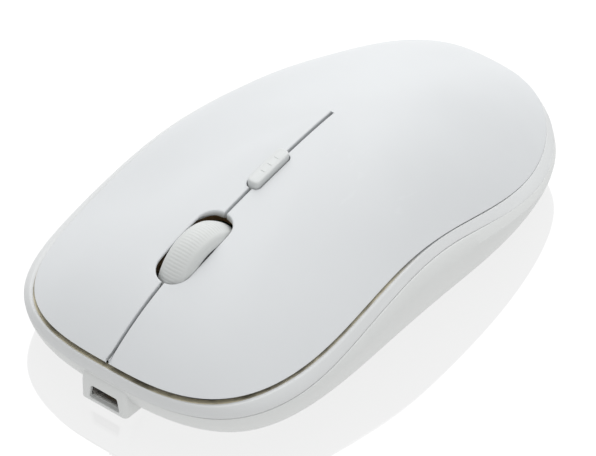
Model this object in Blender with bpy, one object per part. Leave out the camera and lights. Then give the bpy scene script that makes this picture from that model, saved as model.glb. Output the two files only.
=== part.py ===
"""A slim rechargeable wireless mouse, built as an assembly of separate pieces.

The origin is on the surface that the mouse stands on, under the middle of its outline. The front,
with the charging port, points to -Y, and the palm end to +Y. Sizes are in millimetres in this
script and become metres when a mesh is made.
"""

import math

import bmesh
import bpy
import numpy as np
from mathutils import Matrix, Vector

MM = 0.001

# Driving dimensions
LENGTH = 115.0
EDGE_HALF = 29.85                # half width of the cover's edge, before its taper
GAP = 0.3                        # clearance between two pieces that touch
WALL = 1.8                       # frame and bottom shell
COVER = 1.6                      # thickness of the top cover
SECTORS = 56                     # steps round the outline

# Top cover: edge outline in plan, edge height and crown height along the mouse
OUTLINE_Y = 8.7                  # where the front and rear halves of the outline meet
FRONT_POWER = 3.0                # superellipse powers, a higher one is squarer
REAR_POWER = 2.5
EDGE_INSET_FRONT = 1.1           # how far the frame stands proud of the cover's edge
EDGE_INSET_REAR = 0.27
WAIST = 0.6
WAIST_Y = -5.0
WAIST_SPREAD = 22.0
EDGE_HEIGHTS = [(-56.4, 11.2), (-31.0, 13.1), (-5.0, 17.5), (21.0, 13.5), (41.5, 9.8), (56.9, 11.3)]
CROWN_HEIGHTS = [(-56.4, 26.3), (-31.0, 25.4), (-5.0, 27.9), (21.0, 28.9), (41.5, 25.5), (56.9, 24.0)]
CROWN_POWERS = (3.5, 2.4, 2.9)   # front, side, rear
RIDGE_RHO = 0.081                # ring of the top surface that passes through its highest point

# Lower body: how it swells under the edge and curves in to the flat base, front, side, rear
BASE_Z = 1.2
BULGE = (0.95, 2.4, 0.6)
BULGE_PEAK = 0.3
BULGE_FADE = (1.0, 0.7, 1.0)
UNDERCUT = (4.9, 2.2, 21.0)
UNDERCUT_POWERS = (2.2, 2.3, 2.2)
KEY_GAP = 1.0                    # dark gap round the keys, closing to GAP behind them
# height of the frame's visible band, along the mouse
BAND_HEIGHTS = [(-56.4, 2.6), (-46.0, 2.3), (-28.0, 1.5), (0.0, 1.35), (30.0, 1.4), (56.9, 1.4)]
FLOOR = 1.6

# Keys, wheel slot and button slot
FLEX_Y = 8.8
SLIT = 0.6
SLOT_WIDTH = 7.5
SLOT_FRONT = -40.6
SLOT_REAR = -22.4
KEY_PRESS_X = 17.0
KEY_PRESS_Y = -38.0
FLEX_Z = 25.0
SWITCH_TOP = 13.6                # undersides of the posts that press the switches
PLUNGER_TOP = 9.6                # top of the middle switch, under the cradle
DPI_PLUNGER_TOP = 15.7

# Wheel
WHEEL_Y = -30.2
WHEEL_Z = 15.5
WHEEL_RADIUS = 10.3
WHEEL_WIDTH = 6.7
TYRE_INNER = 7.6
SHAFT_RADIUS = 1.2
ENCODER_X = 8.4

# Button in the slit
BUTTON_FRONT = -15.0
BUTTON_REAR = -4.85
BUTTON_WIDTH = 2.5
BUTTON_CORNER = 0.9
BUTTON_RISE = 1.2

# Board and what it carries
BOARD_BOTTOM = 4.8
BOARD_TOP = 5.8
PART_Z = BOARD_TOP + GAP         # undersides of the parts on the board
BOARD_REAR = 9.0
BOARD_HALF = 21.4
NOSE_HALF = 9.0
BOARD_FRONT = -53.4
SENSOR_Y = -1.0

# Charging port
PORT_Z = 3.2
PORT_WIDTH = 7.2
PORT_HEIGHT = 3.0
BOSS_HALF = 5.2
BOSS_BOTTOM = 0.9

# Rear half of the inside
WELL_Y = 24.0                    # storage well for the receiver
WELL_HALF_X = 7.9
WELL_HALF_Y = 10.2
WELL_TOP = 8.2
BATTERY = (-14.0, 10.6, 9.9, 14.0, 40.6, 14.7)
FRAME_SCREWS = [(25.2, -12.0), (-25.2, -12.0)]
PALM_SCREWS = [(19.0, 31.0), (-19.0, 31.0)]
BOARD_SCREWS = [(17.5, 4.5), (-17.5, 4.5)]
POWER_X = -12.0
POWER_Y = -6.0


# ---------------------------------------------------------------- materials

def make_material(name, color, roughness, metallic=0.0):
    material = bpy.data.materials.new(name)
    material.use_nodes = True
    shader = material.node_tree.nodes["Principled BSDF"]
    shader.inputs["Base Color"].default_value = (*color, 1.0)
    shader.inputs["Roughness"].default_value = roughness
    shader.inputs["Metallic"].default_value = metallic
    return material


# ---------------------------------------------------------------- mesh helpers

def add_object(name, mesh, material, center=(0.0, 0.0, 0.0), smooth=30.0):
    """Link a mesh in metres as an object whose origin is at center, in millimetres."""
    mesh.materials.append(material)
    mesh.shade_smooth()
    mesh.set_sharp_from_angle(angle=math.radians(smooth))
    thing = bpy.data.objects.new(name, mesh)
    thing.location = Vector(center) * MM
    bpy.context.scene.collection.objects.link(thing)
    return thing


def mesh_from(name, points, faces):
    mesh = bpy.data.meshes.new(name)
    mesh.from_pydata([tuple(float(value) * MM for value in point) for point in points], [], faces)
    return mesh


def mesh_from_bmesh(name, shape):
    bmesh.ops.recalc_face_normals(shape, faces=shape.faces)
    mesh = bpy.data.meshes.new(name)
    shape.to_mesh(mesh)
    shape.free()
    return mesh


def add_block(name, low, high, material, bevel=0.0):
    """A box between two corners, with its upright or all edges rounded by a small bevel."""
    low, high = Vector(low), Vector(high)
    shape = bmesh.new()
    bmesh.ops.create_cube(shape, size=1.0)
    bmesh.ops.scale(shape, vec=(high - low) * MM, verts=shape.verts)
    if bevel:
        bmesh.ops.bevel(shape, geom=shape.edges[:], offset=bevel * MM, segments=2, affect='EDGES', profile=0.5)
    return add_object(name, mesh_from_bmesh(name, shape), material, (low + high) / 2)


def add_cylinder(name, base, radius, height, material, direction=(0, 0, 1), sides=20, tip=None):
    """A cylinder, or a cone to the radius tip, that starts at base and runs along direction."""
    shape = bmesh.new()
    bmesh.ops.create_cone(shape, cap_ends=True, segments=sides, radius1=radius * MM,
                          radius2=(radius if tip is None else tip) * MM, depth=height * MM)
    thing = add_object(name, mesh_from_bmesh(name, shape), material,
                       Vector(base) + Vector(direction) * height / 2)
    thing.rotation_euler = Vector((0, 0, 1)).rotation_difference(Vector(direction)).to_euler()
    return thing


def add_turned(name, profile, center, material, sides=28, upright=False):
    """Spin a profile of (distance along the axis, radius) points round X, or round Z if upright.

    A profile that starts and ends on the axis makes a solid, and any other is closed into a ring.
    """
    shape = bmesh.new()
    places = [(radius, 0.0, along) if upright else (along, 0.0, radius) for along, radius in profile]
    corners = [shape.verts.new(Vector(place) * MM) for place in places]
    first = 1 if profile[0][1] == 0 else 0
    edges = [shape.edges.new((corners[i - 1], corners[i])) for i in range(first, len(corners))]
    bmesh.ops.spin(shape, geom=corners + edges, cent=(0, 0, 0), axis=(0, 0, 1) if upright else (1, 0, 0),
                   angle=2 * math.pi, steps=sides, use_merge=True)
    bmesh.ops.remove_doubles(shape, verts=shape.verts, dist=0.000001)
    return add_object(name, mesh_from_bmesh(name, shape), material, center)


def add_plate(name, outline, bottom, top, material, bevel=0.0):
    """Extrude a plan outline from bottom to top, rounding its upright corners by bevel."""
    shape = bmesh.new()
    corners = [shape.verts.new((x * MM, y * MM, bottom * MM)) for x, y in outline]
    face = shape.faces.new(corners)
    if bevel:
        bmesh.ops.bevel(shape, geom=corners, offset=bevel * MM, segments=4, affect='VERTICES', profile=0.5)
        shape.faces.ensure_lookup_table()
        face = shape.faces[0]
    raised = bmesh.ops.extrude_face_region(shape, geom=[face])["geom"]
    lifted = [item for item in raised if isinstance(item, bmesh.types.BMVert)]
    bmesh.ops.translate(shape, verts=lifted, vec=(0, 0, (top - bottom) * MM))
    return add_object(name, mesh_from_bmesh(name, shape), material)


def add_tube(name, route, radius, material):
    """A round lead along a smooth curve through the route's points."""
    route = np.array(route, dtype=float)
    stations = np.linspace(0, len(route) - 1, 4 * len(route))
    path = np.stack([smooth_through(list(enumerate(route[:, axis])), stations) for axis in range(3)], 1)
    curve = bpy.data.curves.new(name, 'CURVE')
    curve.dimensions = '3D'
    curve.bevel_depth = radius * MM
    curve.bevel_resolution = 2
    curve.use_fill_caps = True
    spline = curve.splines.new('POLY')
    spline.points.add(len(path) - 1)
    for point, place in zip(spline.points, path):
        point.co = (*(place * MM), 1.0)
    curve.materials.append(material)
    lead = bpy.data.objects.new(name, curve)
    bpy.context.scene.collection.objects.link(lead)
    return lead


def combine(thing, tool, operation):
    """Join a tool to a piece, cut it away, or keep only what lies inside it."""
    tool.hide_render = True
    tool.display_type = 'WIRE'
    step = thing.modifiers.new(tool.name, 'BOOLEAN')
    step.operation = operation
    step.solver = 'EXACT'
    step.object = tool


def cut(thing, *tools):
    for tool in tools:
        combine(thing, tool, 'DIFFERENCE')


def join(thing, *tools):
    for tool in tools:
        combine(thing, tool, 'UNION')


def move_origin(thing, point):
    """Put an unturned object's origin at a point, in millimetres, and leave its mesh where it is."""
    shift = Vector(point) * MM - thing.location
    thing.data.transform(Matrix.Translation(-shift))
    thing.location = Vector(point) * MM


def add_pivot(name, point, children):
    """An empty at a joint, with the pieces that move on it as its children."""
    pivot = bpy.data.objects.new(name, None)
    pivot.location = Vector(point) * MM
    bpy.context.scene.collection.objects.link(pivot)
    for child in children:
        child.parent = pivot
        child.location = child.location - pivot.location
    return pivot


# ---------------------------------------------------------------- the mouse's own surfaces

def smooth_through(points, places):
    """A natural cubic spline through (place, value) points, read at other places."""
    at, value = np.array(points, dtype=float).T
    step = np.diff(at)
    slope = np.diff(value) / step
    count = len(at)
    matrix = np.eye(count)
    right = np.zeros(count)
    for i in range(1, count - 1):
        matrix[i, i - 1:i + 2] = step[i - 1], 2 * (step[i - 1] + step[i]), step[i]
        right[i] = 6 * (slope[i] - slope[i - 1])
    bend = np.linalg.solve(matrix, right)
    places = np.clip(places, at[0], at[-1])
    i = np.clip(np.searchsorted(at, places) - 1, 0, count - 2)
    t = places - at[i]
    start = slope[i] - step[i] * (2 * bend[i] + bend[i + 1]) / 6
    return value[i] + start * t + bend[i] * t**2 / 2 + (bend[i + 1] - bend[i]) * t**3 / (6 * step[i])


def blend3(facing, values):
    """Front, side and rear values mixed by how far an outline point faces forward or back."""
    front, side, rear = values
    return side + np.where(facing < 0, front - side, rear - side) * facing**2


def outline(angle):
    """The cover's edge in plan: a superellipse that is fuller at the front and waisted at the middle."""
    c, s = np.cos(angle), np.sin(angle)
    power = np.where(s < 0, FRONT_POWER, REAR_POWER)
    front = OUTLINE_Y + LENGTH / 2 - EDGE_INSET_FRONT
    reach = np.where(s < 0, front, LENGTH / 2 - EDGE_INSET_REAR - OUTLINE_Y)
    radius = (np.abs(c / EDGE_HALF)**power + np.abs(s / reach)**power)**(-1 / power)
    y = OUTLINE_Y + radius * s
    t = (y - OUTLINE_Y) / (LENGTH / 2)
    waist = 1 - WAIST / EDGE_HALF * np.exp(-((y - WAIST_Y) / WAIST_SPREAD)**2)
    return radius * c * (1 - 0.04 * t + 0.10 * t**2 - 0.07 * t**3) * waist, y


def outward(angle):
    """The outline's outward direction in plan."""
    ahead, behind = outline(angle + 1e-4), outline(angle - 1e-4)
    along_x, along_y = ahead[0] - behind[0], ahead[1] - behind[1]
    size = np.hypot(along_x, along_y)
    return along_y / size, -along_x / size


def crown(rho, angle):
    """The top surface at a fraction rho of the way from the outline's centre to its edge."""
    edge_x, edge_y = outline(angle)
    facing = outward(angle)[1]
    x = rho * edge_x
    y = OUTLINE_Y + rho * (edge_y - OUTLINE_Y)
    edge = smooth_through(EDGE_HEIGHTS, edge_y)
    top = smooth_through(CROWN_HEIGHTS, y)
    z = edge + (top - edge) * (1 - rho**blend3(facing, CROWN_POWERS))
    return np.stack([x, y, z], -1)


def crown_height(x, y):
    """Height of the top surface over a point in plan."""
    angle = np.arctan2(y - OUTLINE_Y, x)
    for _ in range(30):                       # the outline's angle is bent by its taper
        edge_x, edge_y = outline(angle)
        angle = angle + np.arctan2(y - OUTLINE_Y, x) - np.arctan2(edge_y - OUTLINE_Y, edge_x)
    rho = np.hypot(x, y - OUTLINE_Y) / np.hypot(edge_x, edge_y - OUTLINE_Y)
    return float(crown(rho, angle)[2])


def post_height(x, y, radius):
    """How high a post can rise under the cover and still end inside its wall all round."""
    rim = [crown_height(x + radius * dx, y + radius * dy) for dx, dy in ((1, 0), (-1, 0), (0, 1), (0, -1))]
    return min(rim) - COVER / 4


def side(drop, angle, inset=0.0):
    """The lower body at a fraction drop of the way down from the cover's edge to the base.

    It swells out under the edge, then curves in below. inset moves the point into the wall.
    """
    def place(amount):
        edge_x, edge_y = outline(angle)
        out_x, out_y = outward(angle)
        edge = smooth_through(EDGE_HEIGHTS, edge_y)
        rise = np.sin(np.pi / 2 * np.minimum(amount / BULGE_PEAK, 1))
        fade = np.maximum(0, (amount - BULGE_PEAK) / (1 - BULGE_PEAK))**1.6
        power = blend3(out_y, UNDERCUT_POWERS)
        swell = blend3(out_y, BULGE) + np.where(np.abs(out_y) < 1, (1 - out_y**2)**2, 0) * (WAIST * np.exp(
            -((edge_y - WAIST_Y) / WAIST_SPREAD)**2) + 0.5)
        under = 1 - (1 - np.clip(amount, 0, 1)**power)**(1 / power)
        out = swell * (rise - blend3(out_y, BULGE_FADE) * fade) - blend3(out_y, UNDERCUT) * under
        return np.stack([edge_x + out_x * out, edge_y + out_y * out, edge + (BASE_Z - edge) * amount], -1)

    point = place(drop)
    if inset:
        above, below = place(np.maximum(drop - 0.01, 0)), place(np.minimum(drop + 0.01, 1))
        down = below - above
        out_x, out_y = outward(angle)
        flat = down[..., 0] * out_x + down[..., 1] * out_y
        size = np.hypot(flat, down[..., 2])
        inward = np.stack([down[..., 2] * out_x, down[..., 2] * out_y, -flat], -1) / size[..., None]
        point = point + inset * inward
    return point


# ---------------------------------------------------------------- pieces

ANGLES = np.radians(-90 + 360 / SECTORS * np.arange(SECTORS))


def skin(name, rows, material, first=None, last=None):
    """Join rings of points into one closed surface, ending in poles or, without them, in a loop."""
    points = [tuple(point) for row in rows for point in row]
    ring_pairs = [(i, i + 1) for i in range(len(rows) - 1)]
    if first is None:
        ring_pairs.append((len(rows) - 1, 0))
    faces = []
    for inner, outer in ring_pairs:
        for i in range(SECTORS):
            j = (i + 1) % SECTORS
            faces.append((inner * SECTORS + i, outer * SECTORS + i, outer * SECTORS + j, inner * SECTORS + j))
    if first is not None:
        points += [tuple(first), tuple(last)]
        end = (len(rows) - 1) * SECTORS
        for i in range(SECTORS):
            j = (i + 1) % SECTORS
            faces.append((len(points) - 2, i, j))
            faces.append((len(points) - 1, end + j, end + i))
    return add_object(name, mesh_from(name, points, faces), material)


def crown_inside(rho, angle):
    """The underside of the top cover, COVER below the top surface, square to it."""
    step = 1e-3
    along = crown(rho + step, angle) - crown(rho - step, angle)
    around = crown(rho, angle + step) - crown(rho, angle - step)
    normal = np.cross(along, around)
    return crown(rho, angle) - COVER * normal / np.linalg.norm(normal, axis=-1, keepdims=True)


def gap_under_cover():
    """Height of the gap between the cover's edge and the frame: wide round the keys, closing behind."""
    y = outline(ANGLES)[1]
    closing = np.clip((y - (FLEX_Y - 22.0)) / 26.0, 0, 1)
    return KEY_GAP + (GAP - KEY_GAP) * closing**2 * (3 - 2 * closing)


def band_height():
    return smooth_through(BAND_HEIGHTS, outline(ANGLES)[1])


def drop_for(depth):
    """The side's drop fraction at a depth below the cover's edge, all round the outline."""
    edge = smooth_through(EDGE_HEIGHTS, outline(ANGLES)[1])
    return depth / (edge - BASE_Z)


def rounded_box(low_x, low_y, high_x, high_y):
    return [(low_x, low_y), (high_x, low_y), (high_x, high_y), (low_x, high_y)]


def make_cover_shell(name, material):
    """The whole dome of the top cover, from which the palm cover and each key are taken."""
    outside = [crown(rho, ANGLES) for rho in (RIDGE_RHO, 0.22, 0.34, 0.47, 0.63, 0.79, 0.91, 1.0)]
    inside = [crown_inside(rho, ANGLES) for rho in (0.955, 0.85, 0.68, 0.45, 0.22)]
    top = np.array([0.0, OUTLINE_Y, smooth_through(CROWN_HEIGHTS, OUTLINE_Y)])
    return skin(name, outside + inside, material, first=top, last=top - np.array([0, 0, COVER]))


def make_cover(white):
    """The palm cover and the two keys that flex from its front edge."""
    split = SLIT / 2
    edge = GAP / 2
    far = LENGTH
    palm = make_cover_shell("palm_cover", white)
    combine(palm, add_block("palm_region", (-far, FLEX_Y + edge, -far), (far, far, far), white), 'INTERSECT')
    for x, y in PALM_SCREWS:
        tag = f"palm_{'left' if x > 0 else 'right'}"
        leg_top = post_height(x, y, 2.6)
        join(palm, add_cylinder(f"{tag}_leg", (x, y, 6.3), 2.6, leg_top - 6.3, white, sides=16))
        cut(palm, add_cylinder(f"{tag}_hole", (x, y, 5.0), 1.25, 6.2, white, sides=12))
    slot = rounded_box(-SLOT_WIDTH / 2, SLOT_FRONT, SLOT_WIDTH / 2, SLOT_REAR)
    notch_x = BUTTON_WIDTH / 2 + GAP
    notch = rounded_box(-notch_x, BUTTON_FRONT - GAP, notch_x, BUTTON_REAR + GAP)
    keys = []
    for name, sign in (("left_key", 1), ("right_key", -1)):
        key = make_cover_shell(name, white)
        xs = sorted((sign * split, sign * far))
        region = add_block(f"{name}_region", (xs[0], -far, -far), (xs[1], FLEX_Y - edge, far), white)
        combine(key, region, 'INTERSECT')
        cut(key, add_plate(f"{name}_wheel_slot", slot, 0, 40, white, bevel=SLOT_WIDTH / 2 - 0.05))
        cut(key, add_plate(f"{name}_button_slot", notch, 0, 40, white, bevel=BUTTON_CORNER + GAP))
        x = sign * KEY_PRESS_X
        post_length = post_height(x, KEY_PRESS_Y, 1.6) - SWITCH_TOP
        join(key, add_cylinder(f"{name}_post", (x, KEY_PRESS_Y, SWITCH_TOP), 1.6, post_length, white, sides=16))
        move_origin(key, (0, FLEX_Y, FLEX_Z))
        add_pivot(f"{name}_flex", (0, FLEX_Y, FLEX_Z), [key])
        keys.append(key)
    return palm, keys


def make_frame(white):
    """The slim frame between cover and bottom shell, with a screw leg hanging from each side."""
    top = gap_under_cover()
    bottom = top + band_height()
    outside = [side(drop_for(top + (bottom - top) * part), ANGLES) for part in (0.0, 0.3, 0.65, 1.0)]
    inside = [side(drop_for(top + (bottom - top) * part), ANGLES, WALL) for part in (1.0, 0.5, 0.0)]
    inside[0][:, 2] = np.maximum(inside[0][:, 2], outside[-1][:, 2])   # stay clear of the shell's brim
    frame = skin("mid_frame", outside + inside, white)
    for x, y in FRAME_SCREWS:
        tag = f"frame_{'left' if x > 0 else 'right'}"
        reach = sorted((x, math.copysign(30.6, x)))
        join(frame, add_block(f"{tag}_web", (reach[0], y - 1.3, 14.95), (reach[1], y + 1.3, 15.9), white))
        join(frame, add_cylinder(f"{tag}_leg", (x, y, 6.3), 2.6, 9.6, white, sides=16))
        cut(frame, add_cylinder(f"{tag}_hole", (x, y, 5.0), 1.25, 6.2, white, sides=12))
    return frame


def make_shell(white):
    """The bottom shell: hull, floor, port boss, receiver well, screw posts and openings."""
    start = drop_for(gap_under_cover() + band_height() + GAP)
    spread = 1 - (1 - np.array([0, 0.095, 0.28, 0.52, 0.72, 0.88, 1.0]))**1.6
    outside = [side(start + (1 - start) * part, ANGLES) for part in spread]
    floor = BASE_Z + FLOOR
    inside = [side(start + (1 - start) * part, ANGLES, WALL) for part in spread[-2::-1]]
    for row in inside:
        row[:, 2] = np.maximum(row[:, 2], floor)
    inside[-1][:, 2] = np.minimum(inside[-1][:, 2], outside[0][:, 2])
    middle = np.array([0.0, -5.0, floor])
    floor_edge = middle + (inside[0] - middle) * (0.93, 0.93, 0.0)
    shell = skin("bottom_shell", [floor_edge] + inside + outside, white,
                 first=middle, last=middle - np.array([0, 0, FLOOR]))

    front = -LENGTH / 2
    boss_rear = BOARD_FRONT - 0.4
    boss = add_block("port_boss", (-BOSS_HALF, front, BOSS_BOTTOM), (BOSS_HALF, boss_rear, 6.4), white, 0.7)
    join(shell, boss)
    well_x, well_y = WELL_HALF_X + 1.2, WELL_HALF_Y + 1.2
    join(shell, add_block("well_wall", (-well_x, WELL_Y - well_y, 2.0), (well_x, WELL_Y + well_y, 9.4), white))
    for x, y in BOARD_SCREWS:
        tag = f"board_post_{'left' if x > 0 else 'right'}"
        join(shell, add_cylinder(tag, (x, y, 2.0), 2.4, 2.5, white, sides=16))
        cut(shell, add_cylinder(f"{tag}_hole", (x, y, 2.1), 1.15, 3.0, white, sides=12))
    for i, (x, y) in enumerate(FRAME_SCREWS + PALM_SCREWS):
        join(shell, add_cylinder(f"case_post_{i}", (x, y, 2.0), 3.3, 4.0, white, sides=16))
        cut(shell, add_cylinder(f"case_head_hole_{i}", (x, y, 0.5), 2.4, 4.3, white, sides=16))
        cut(shell, add_cylinder(f"case_hole_{i}", (x, y, 4.0), 1.25, 3.0, white, sides=12))

    cavity_half = PORT_WIDTH / 2 + 0.7
    port_low = PORT_Z - PORT_HEIGHT / 2
    cavity_low = (-cavity_half, front + 0.8, port_low)
    cut(shell, add_block("port_cavity", cavity_low, (cavity_half, -48.0, 9.0), white))
    mouth = add_block("port_mouth", (-PORT_WIDTH / 2, front - 1.0, port_low),
                      (PORT_WIDTH / 2, front + 2.0, port_low + PORT_HEIGHT), white, 0.7)
    cut(shell, mouth)
    cut(shell, add_block("well_space", (-WELL_HALF_X, WELL_Y - WELL_HALF_Y, -1.0),
                         (WELL_HALF_X, WELL_Y + WELL_HALF_Y, WELL_TOP), white))
    cut(shell, add_block("sensor_window", (-3.2, SENSOR_Y - 5.0, 0.0), (3.2, SENSOR_Y + 3.0, 4.0), white))
    cut(shell, add_block("power_slot", (POWER_X - 2.6, POWER_Y - 1.25, 0.0),
                         (POWER_X + 2.6, POWER_Y + 1.25, 4.0), white))
    return shell


def make_wheel(tyre_rubber, hub_plastic, grey_plastic):
    """Wheel, its encoder rotor and the cradle that lets the free end of its axle rock."""
    center = (0.0, WHEEL_Y, WHEEL_Z)
    half = WHEEL_WIDTH / 2
    rotor_half = 2.2
    rim = TYRE_INNER - GAP
    web = [(-3.0, SHAFT_RADIUS), (-3.0, 2.8), (-1.2, 2.8), (-1.2, 5.8), (-half + 0.4, 5.8), (-half + 0.4, rim)]
    left_end = [(ENCODER_X + 3.4, SHAFT_RADIUS), (ENCODER_X + 3.4, 0.0)]
    mirrored = [(-along, radius) for along, radius in reversed(web)]
    profile = [(-9.8, 0.0), (-9.8, SHAFT_RADIUS)] + web + mirrored + left_end
    hub = add_turned("wheel_hub", profile, center, hub_plastic)
    tread = [(-half, TYRE_INNER), (-half, 8.2), (-half + 0.4, 9.0), (-half + 1.2, 9.75), (0.0, WHEEL_RADIUS)]
    tread += [(-along, radius) for along, radius in reversed(tread[:-1])]
    tyre = add_turned("wheel_tyre", tread, center, tyre_rubber)
    ring = [(-rotor_half, 1.5), (-rotor_half, 3.0), (rotor_half, 3.0), (rotor_half, 1.5)]
    rotor = add_turned("encoder_rotor", ring, (ENCODER_X + 1.1, WHEEL_Y, WHEEL_Z), grey_plastic, sides=20)
    cradle = add_block("axle_cradle", (-9.4, WHEEL_Y - 3.2, PLUNGER_TOP + GAP), (-6.0, WHEEL_Y + 3.2, 18.6),
                       grey_plastic, 0.4)
    cut(cradle, add_cylinder("cradle_bore", (-12.0, WHEEL_Y, WHEEL_Z), SHAFT_RADIUS + GAP, 8.0, grey_plastic,
                             direction=(1, 0, 0), sides=16))
    rock = add_pivot("wheel_rock", (ENCODER_X + 1.1, WHEEL_Y, WHEEL_Z), [cradle])
    spin = add_pivot("wheel_spin", center, [hub, tyre, rotor])
    spin.parent = rock
    spin.location = spin.location - rock.location


def make_encoder(dark_plastic):
    body = add_block("encoder", (ENCODER_X - 1.4, WHEEL_Y - 4.0, PART_Z),
                     (ENCODER_X + 3.6, WHEEL_Y + 4.0, WHEEL_Z + 3.6), dark_plastic, 0.4)
    cut(body, add_cylinder("encoder_bore", (ENCODER_X - 4.0, WHEEL_Y, WHEEL_Z), 3.3, 12.0, dark_plastic,
                           direction=(1, 0, 0), sides=20))


def make_switch(name, low, high, press, radius, top, case, button):
    """A switch on the board with its plunger in a pocket; press is the plunger's place in plan."""
    x, y = press
    body = add_block(name, low, high, case, 0.3)
    pocket = high[2] - 2.1
    cut(body, add_cylinder(f"{name}_pocket", (x, y, pocket), radius + GAP, 4.0, case, sides=16))
    start = pocket + 0.9
    plunger = add_cylinder(f"{name}_plunger", (x, y, start), radius, top - start, button, sides=14)
    add_pivot(f"{name}_travel", (x, y, top), [plunger])


def make_button(white, grey):
    """The rounded button in the slit, its hidden flange and its stem down to the switch."""
    half = BUTTON_WIDTH / 2
    y = (BUTTON_FRONT + BUTTON_REAR) / 2
    cap = rounded_box(-half, BUTTON_FRONT, half, BUTTON_REAR)
    button = add_plate("dpi_button", cap, 22.0, 24.0, white, BUTTON_CORNER)
    for vertex in button.data.vertices:
        if vertex.co.z > 23.0 * MM:
            vertex.co.z = (crown_height(0.0, vertex.co.y / MM) + BUTTON_RISE) * MM
    flange = rounded_box(-half - 1.2, BUTTON_FRONT - 1.2, half + 1.2, BUTTON_REAR + 1.2)
    join(button, add_plate("button_flange", flange, 21.6, 22.6, white, BUTTON_CORNER))
    join(button, add_cylinder("button_stem", (0, y, DPI_PLUNGER_TOP + GAP), 1.4, 7.0, white, sides=14))
    move_origin(button, (0, y, 23.0))
    add_pivot("dpi_button_travel", (0, y, 23.0), [button])
    make_switch("dpi_switch", (-3, y - 3, PART_Z), (3, y + 3, PART_Z + 3.5), (0, y), 1.6, DPI_PLUNGER_TOP,
                grey, white)


def make_board(green):
    """The main board: a narrow nose over the port, a wide middle, and slots for wheel and sensor."""
    right_half = [(NOSE_HALF, BOARD_FRONT), (NOSE_HALF, -51.0), (BOARD_HALF, -42.0), (BOARD_HALF, BOARD_REAR)]
    outline_points = right_half + [(-x, y) for x, y in reversed(right_half)]
    board = add_plate("main_board", outline_points, BOARD_BOTTOM, BOARD_TOP, green)
    cut(board, add_block("wheel_opening", (-4.0, WHEEL_Y - 4.8, 4.0), (4.0, WHEEL_Y + 4.8, 7.0), green))
    cut(board, add_block("sensor_opening", (-2.6, SENSOR_Y - 2.6, 4.0), (2.6, SENSOR_Y + 2.6, 7.0), green))
    for x, y in BOARD_SCREWS:
        side_name = 'left' if x > 0 else 'right'
        cut(board, add_cylinder(f"board_{side_name}_hole", (x, y, 4.0), 1.25, 3.0, green, sides=12))


def make_screw(name, x, y, head, neck, tip, head_radius, steel):
    """A screw along Z: its head's outer face at head, its shank from neck to tip."""
    profile = [(head, 0.0), (head, head_radius), (neck, head_radius), (neck, 0.9), (tip, 0.9), (tip, 0.0)]
    add_turned(name, profile, (x, y, 0.0), steel, sides=14, upright=True)


def make_port(steel, dark_plastic):
    front, back = -LENGTH / 2, -51.2
    socket = add_block("usb_socket", (-3.8, front + 1.1, 1.95), (3.8, back, BOARD_BOTTOM - GAP), steel, 0.3)
    cut(socket, add_block("socket_space", (-3.45, front - 1.0, 2.3), (3.45, back - 0.5, 4.15), steel, 0.25))
    add_block("usb_tongue", (-1.9, -55.6, 3.2), (1.9, back - 0.5 - GAP, 3.85), dark_plastic)


def make_receiver(white, steel):
    """The radio receiver, stored in its well with the plug towards the palm."""
    front = WELL_Y - WELL_HALF_Y + 0.5
    rear = WELL_Y + WELL_HALF_Y - 0.5
    head_rear = front + 6.4
    head = add_block("receiver_head", (-7.4, front, 1.5), (7.4, head_rear, 7.7), white, 0.6)
    plug = add_block("receiver_plug", (-6.0, head_rear + GAP, 2.4), (6.0, rear, 6.9), steel)
    cut(plug, add_block("plug_space", (-5.6, rear - 8.0, 2.8), (5.6, rear + 2.0, 6.5), steel))
    add_pivot("receiver_travel", (0, WELL_Y, 1.5), [head, plug])


def make_battery(foil, red, black, white):
    """The flat cell over the receiver well, with its two leads to a plug on the board."""
    low, high = BATTERY[:3], BATTERY[3:]
    add_block("battery_cell", low, high, foil, 0.9)
    add_block("battery_header", (9.0, -4.0, PART_Z), (15.0, 0.0, PART_Z + 2.6), white)
    add_block("battery_plug", (9.4, GAP, PART_Z + 0.3), (14.6, 3.6, PART_Z + 2.3), white, 0.2)
    for name, x, color in (("battery_lead_red", 10.9, red), ("battery_lead_black", 13.1, black)):
        route = [(x, 3.9, 7.4), (x, 5.6, 7.5), (x - 0.2, 7.6, 9.0), (x - 0.3, 8.4, 11.0), (x, 9.2, 12.3),
                 (x, low[1] - GAP, 12.6)]
        add_tube(name, route, 0.5, color)


def make_feet(slick):
    add_plate("front_foot", rounded_box(-16, -45.4, 16, -39.6), 0.0, BASE_Z - GAP, slick, 2.7)
    for name, sign in (("rear_foot_left", 1), ("rear_foot_right", -1)):
        xs = sorted((sign * 11.2, sign * 15.8))
        add_plate(name, rounded_box(xs[0], 6.0, xs[1], 25.0), 0.0, BASE_Z - GAP, slick, 2.1)


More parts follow.
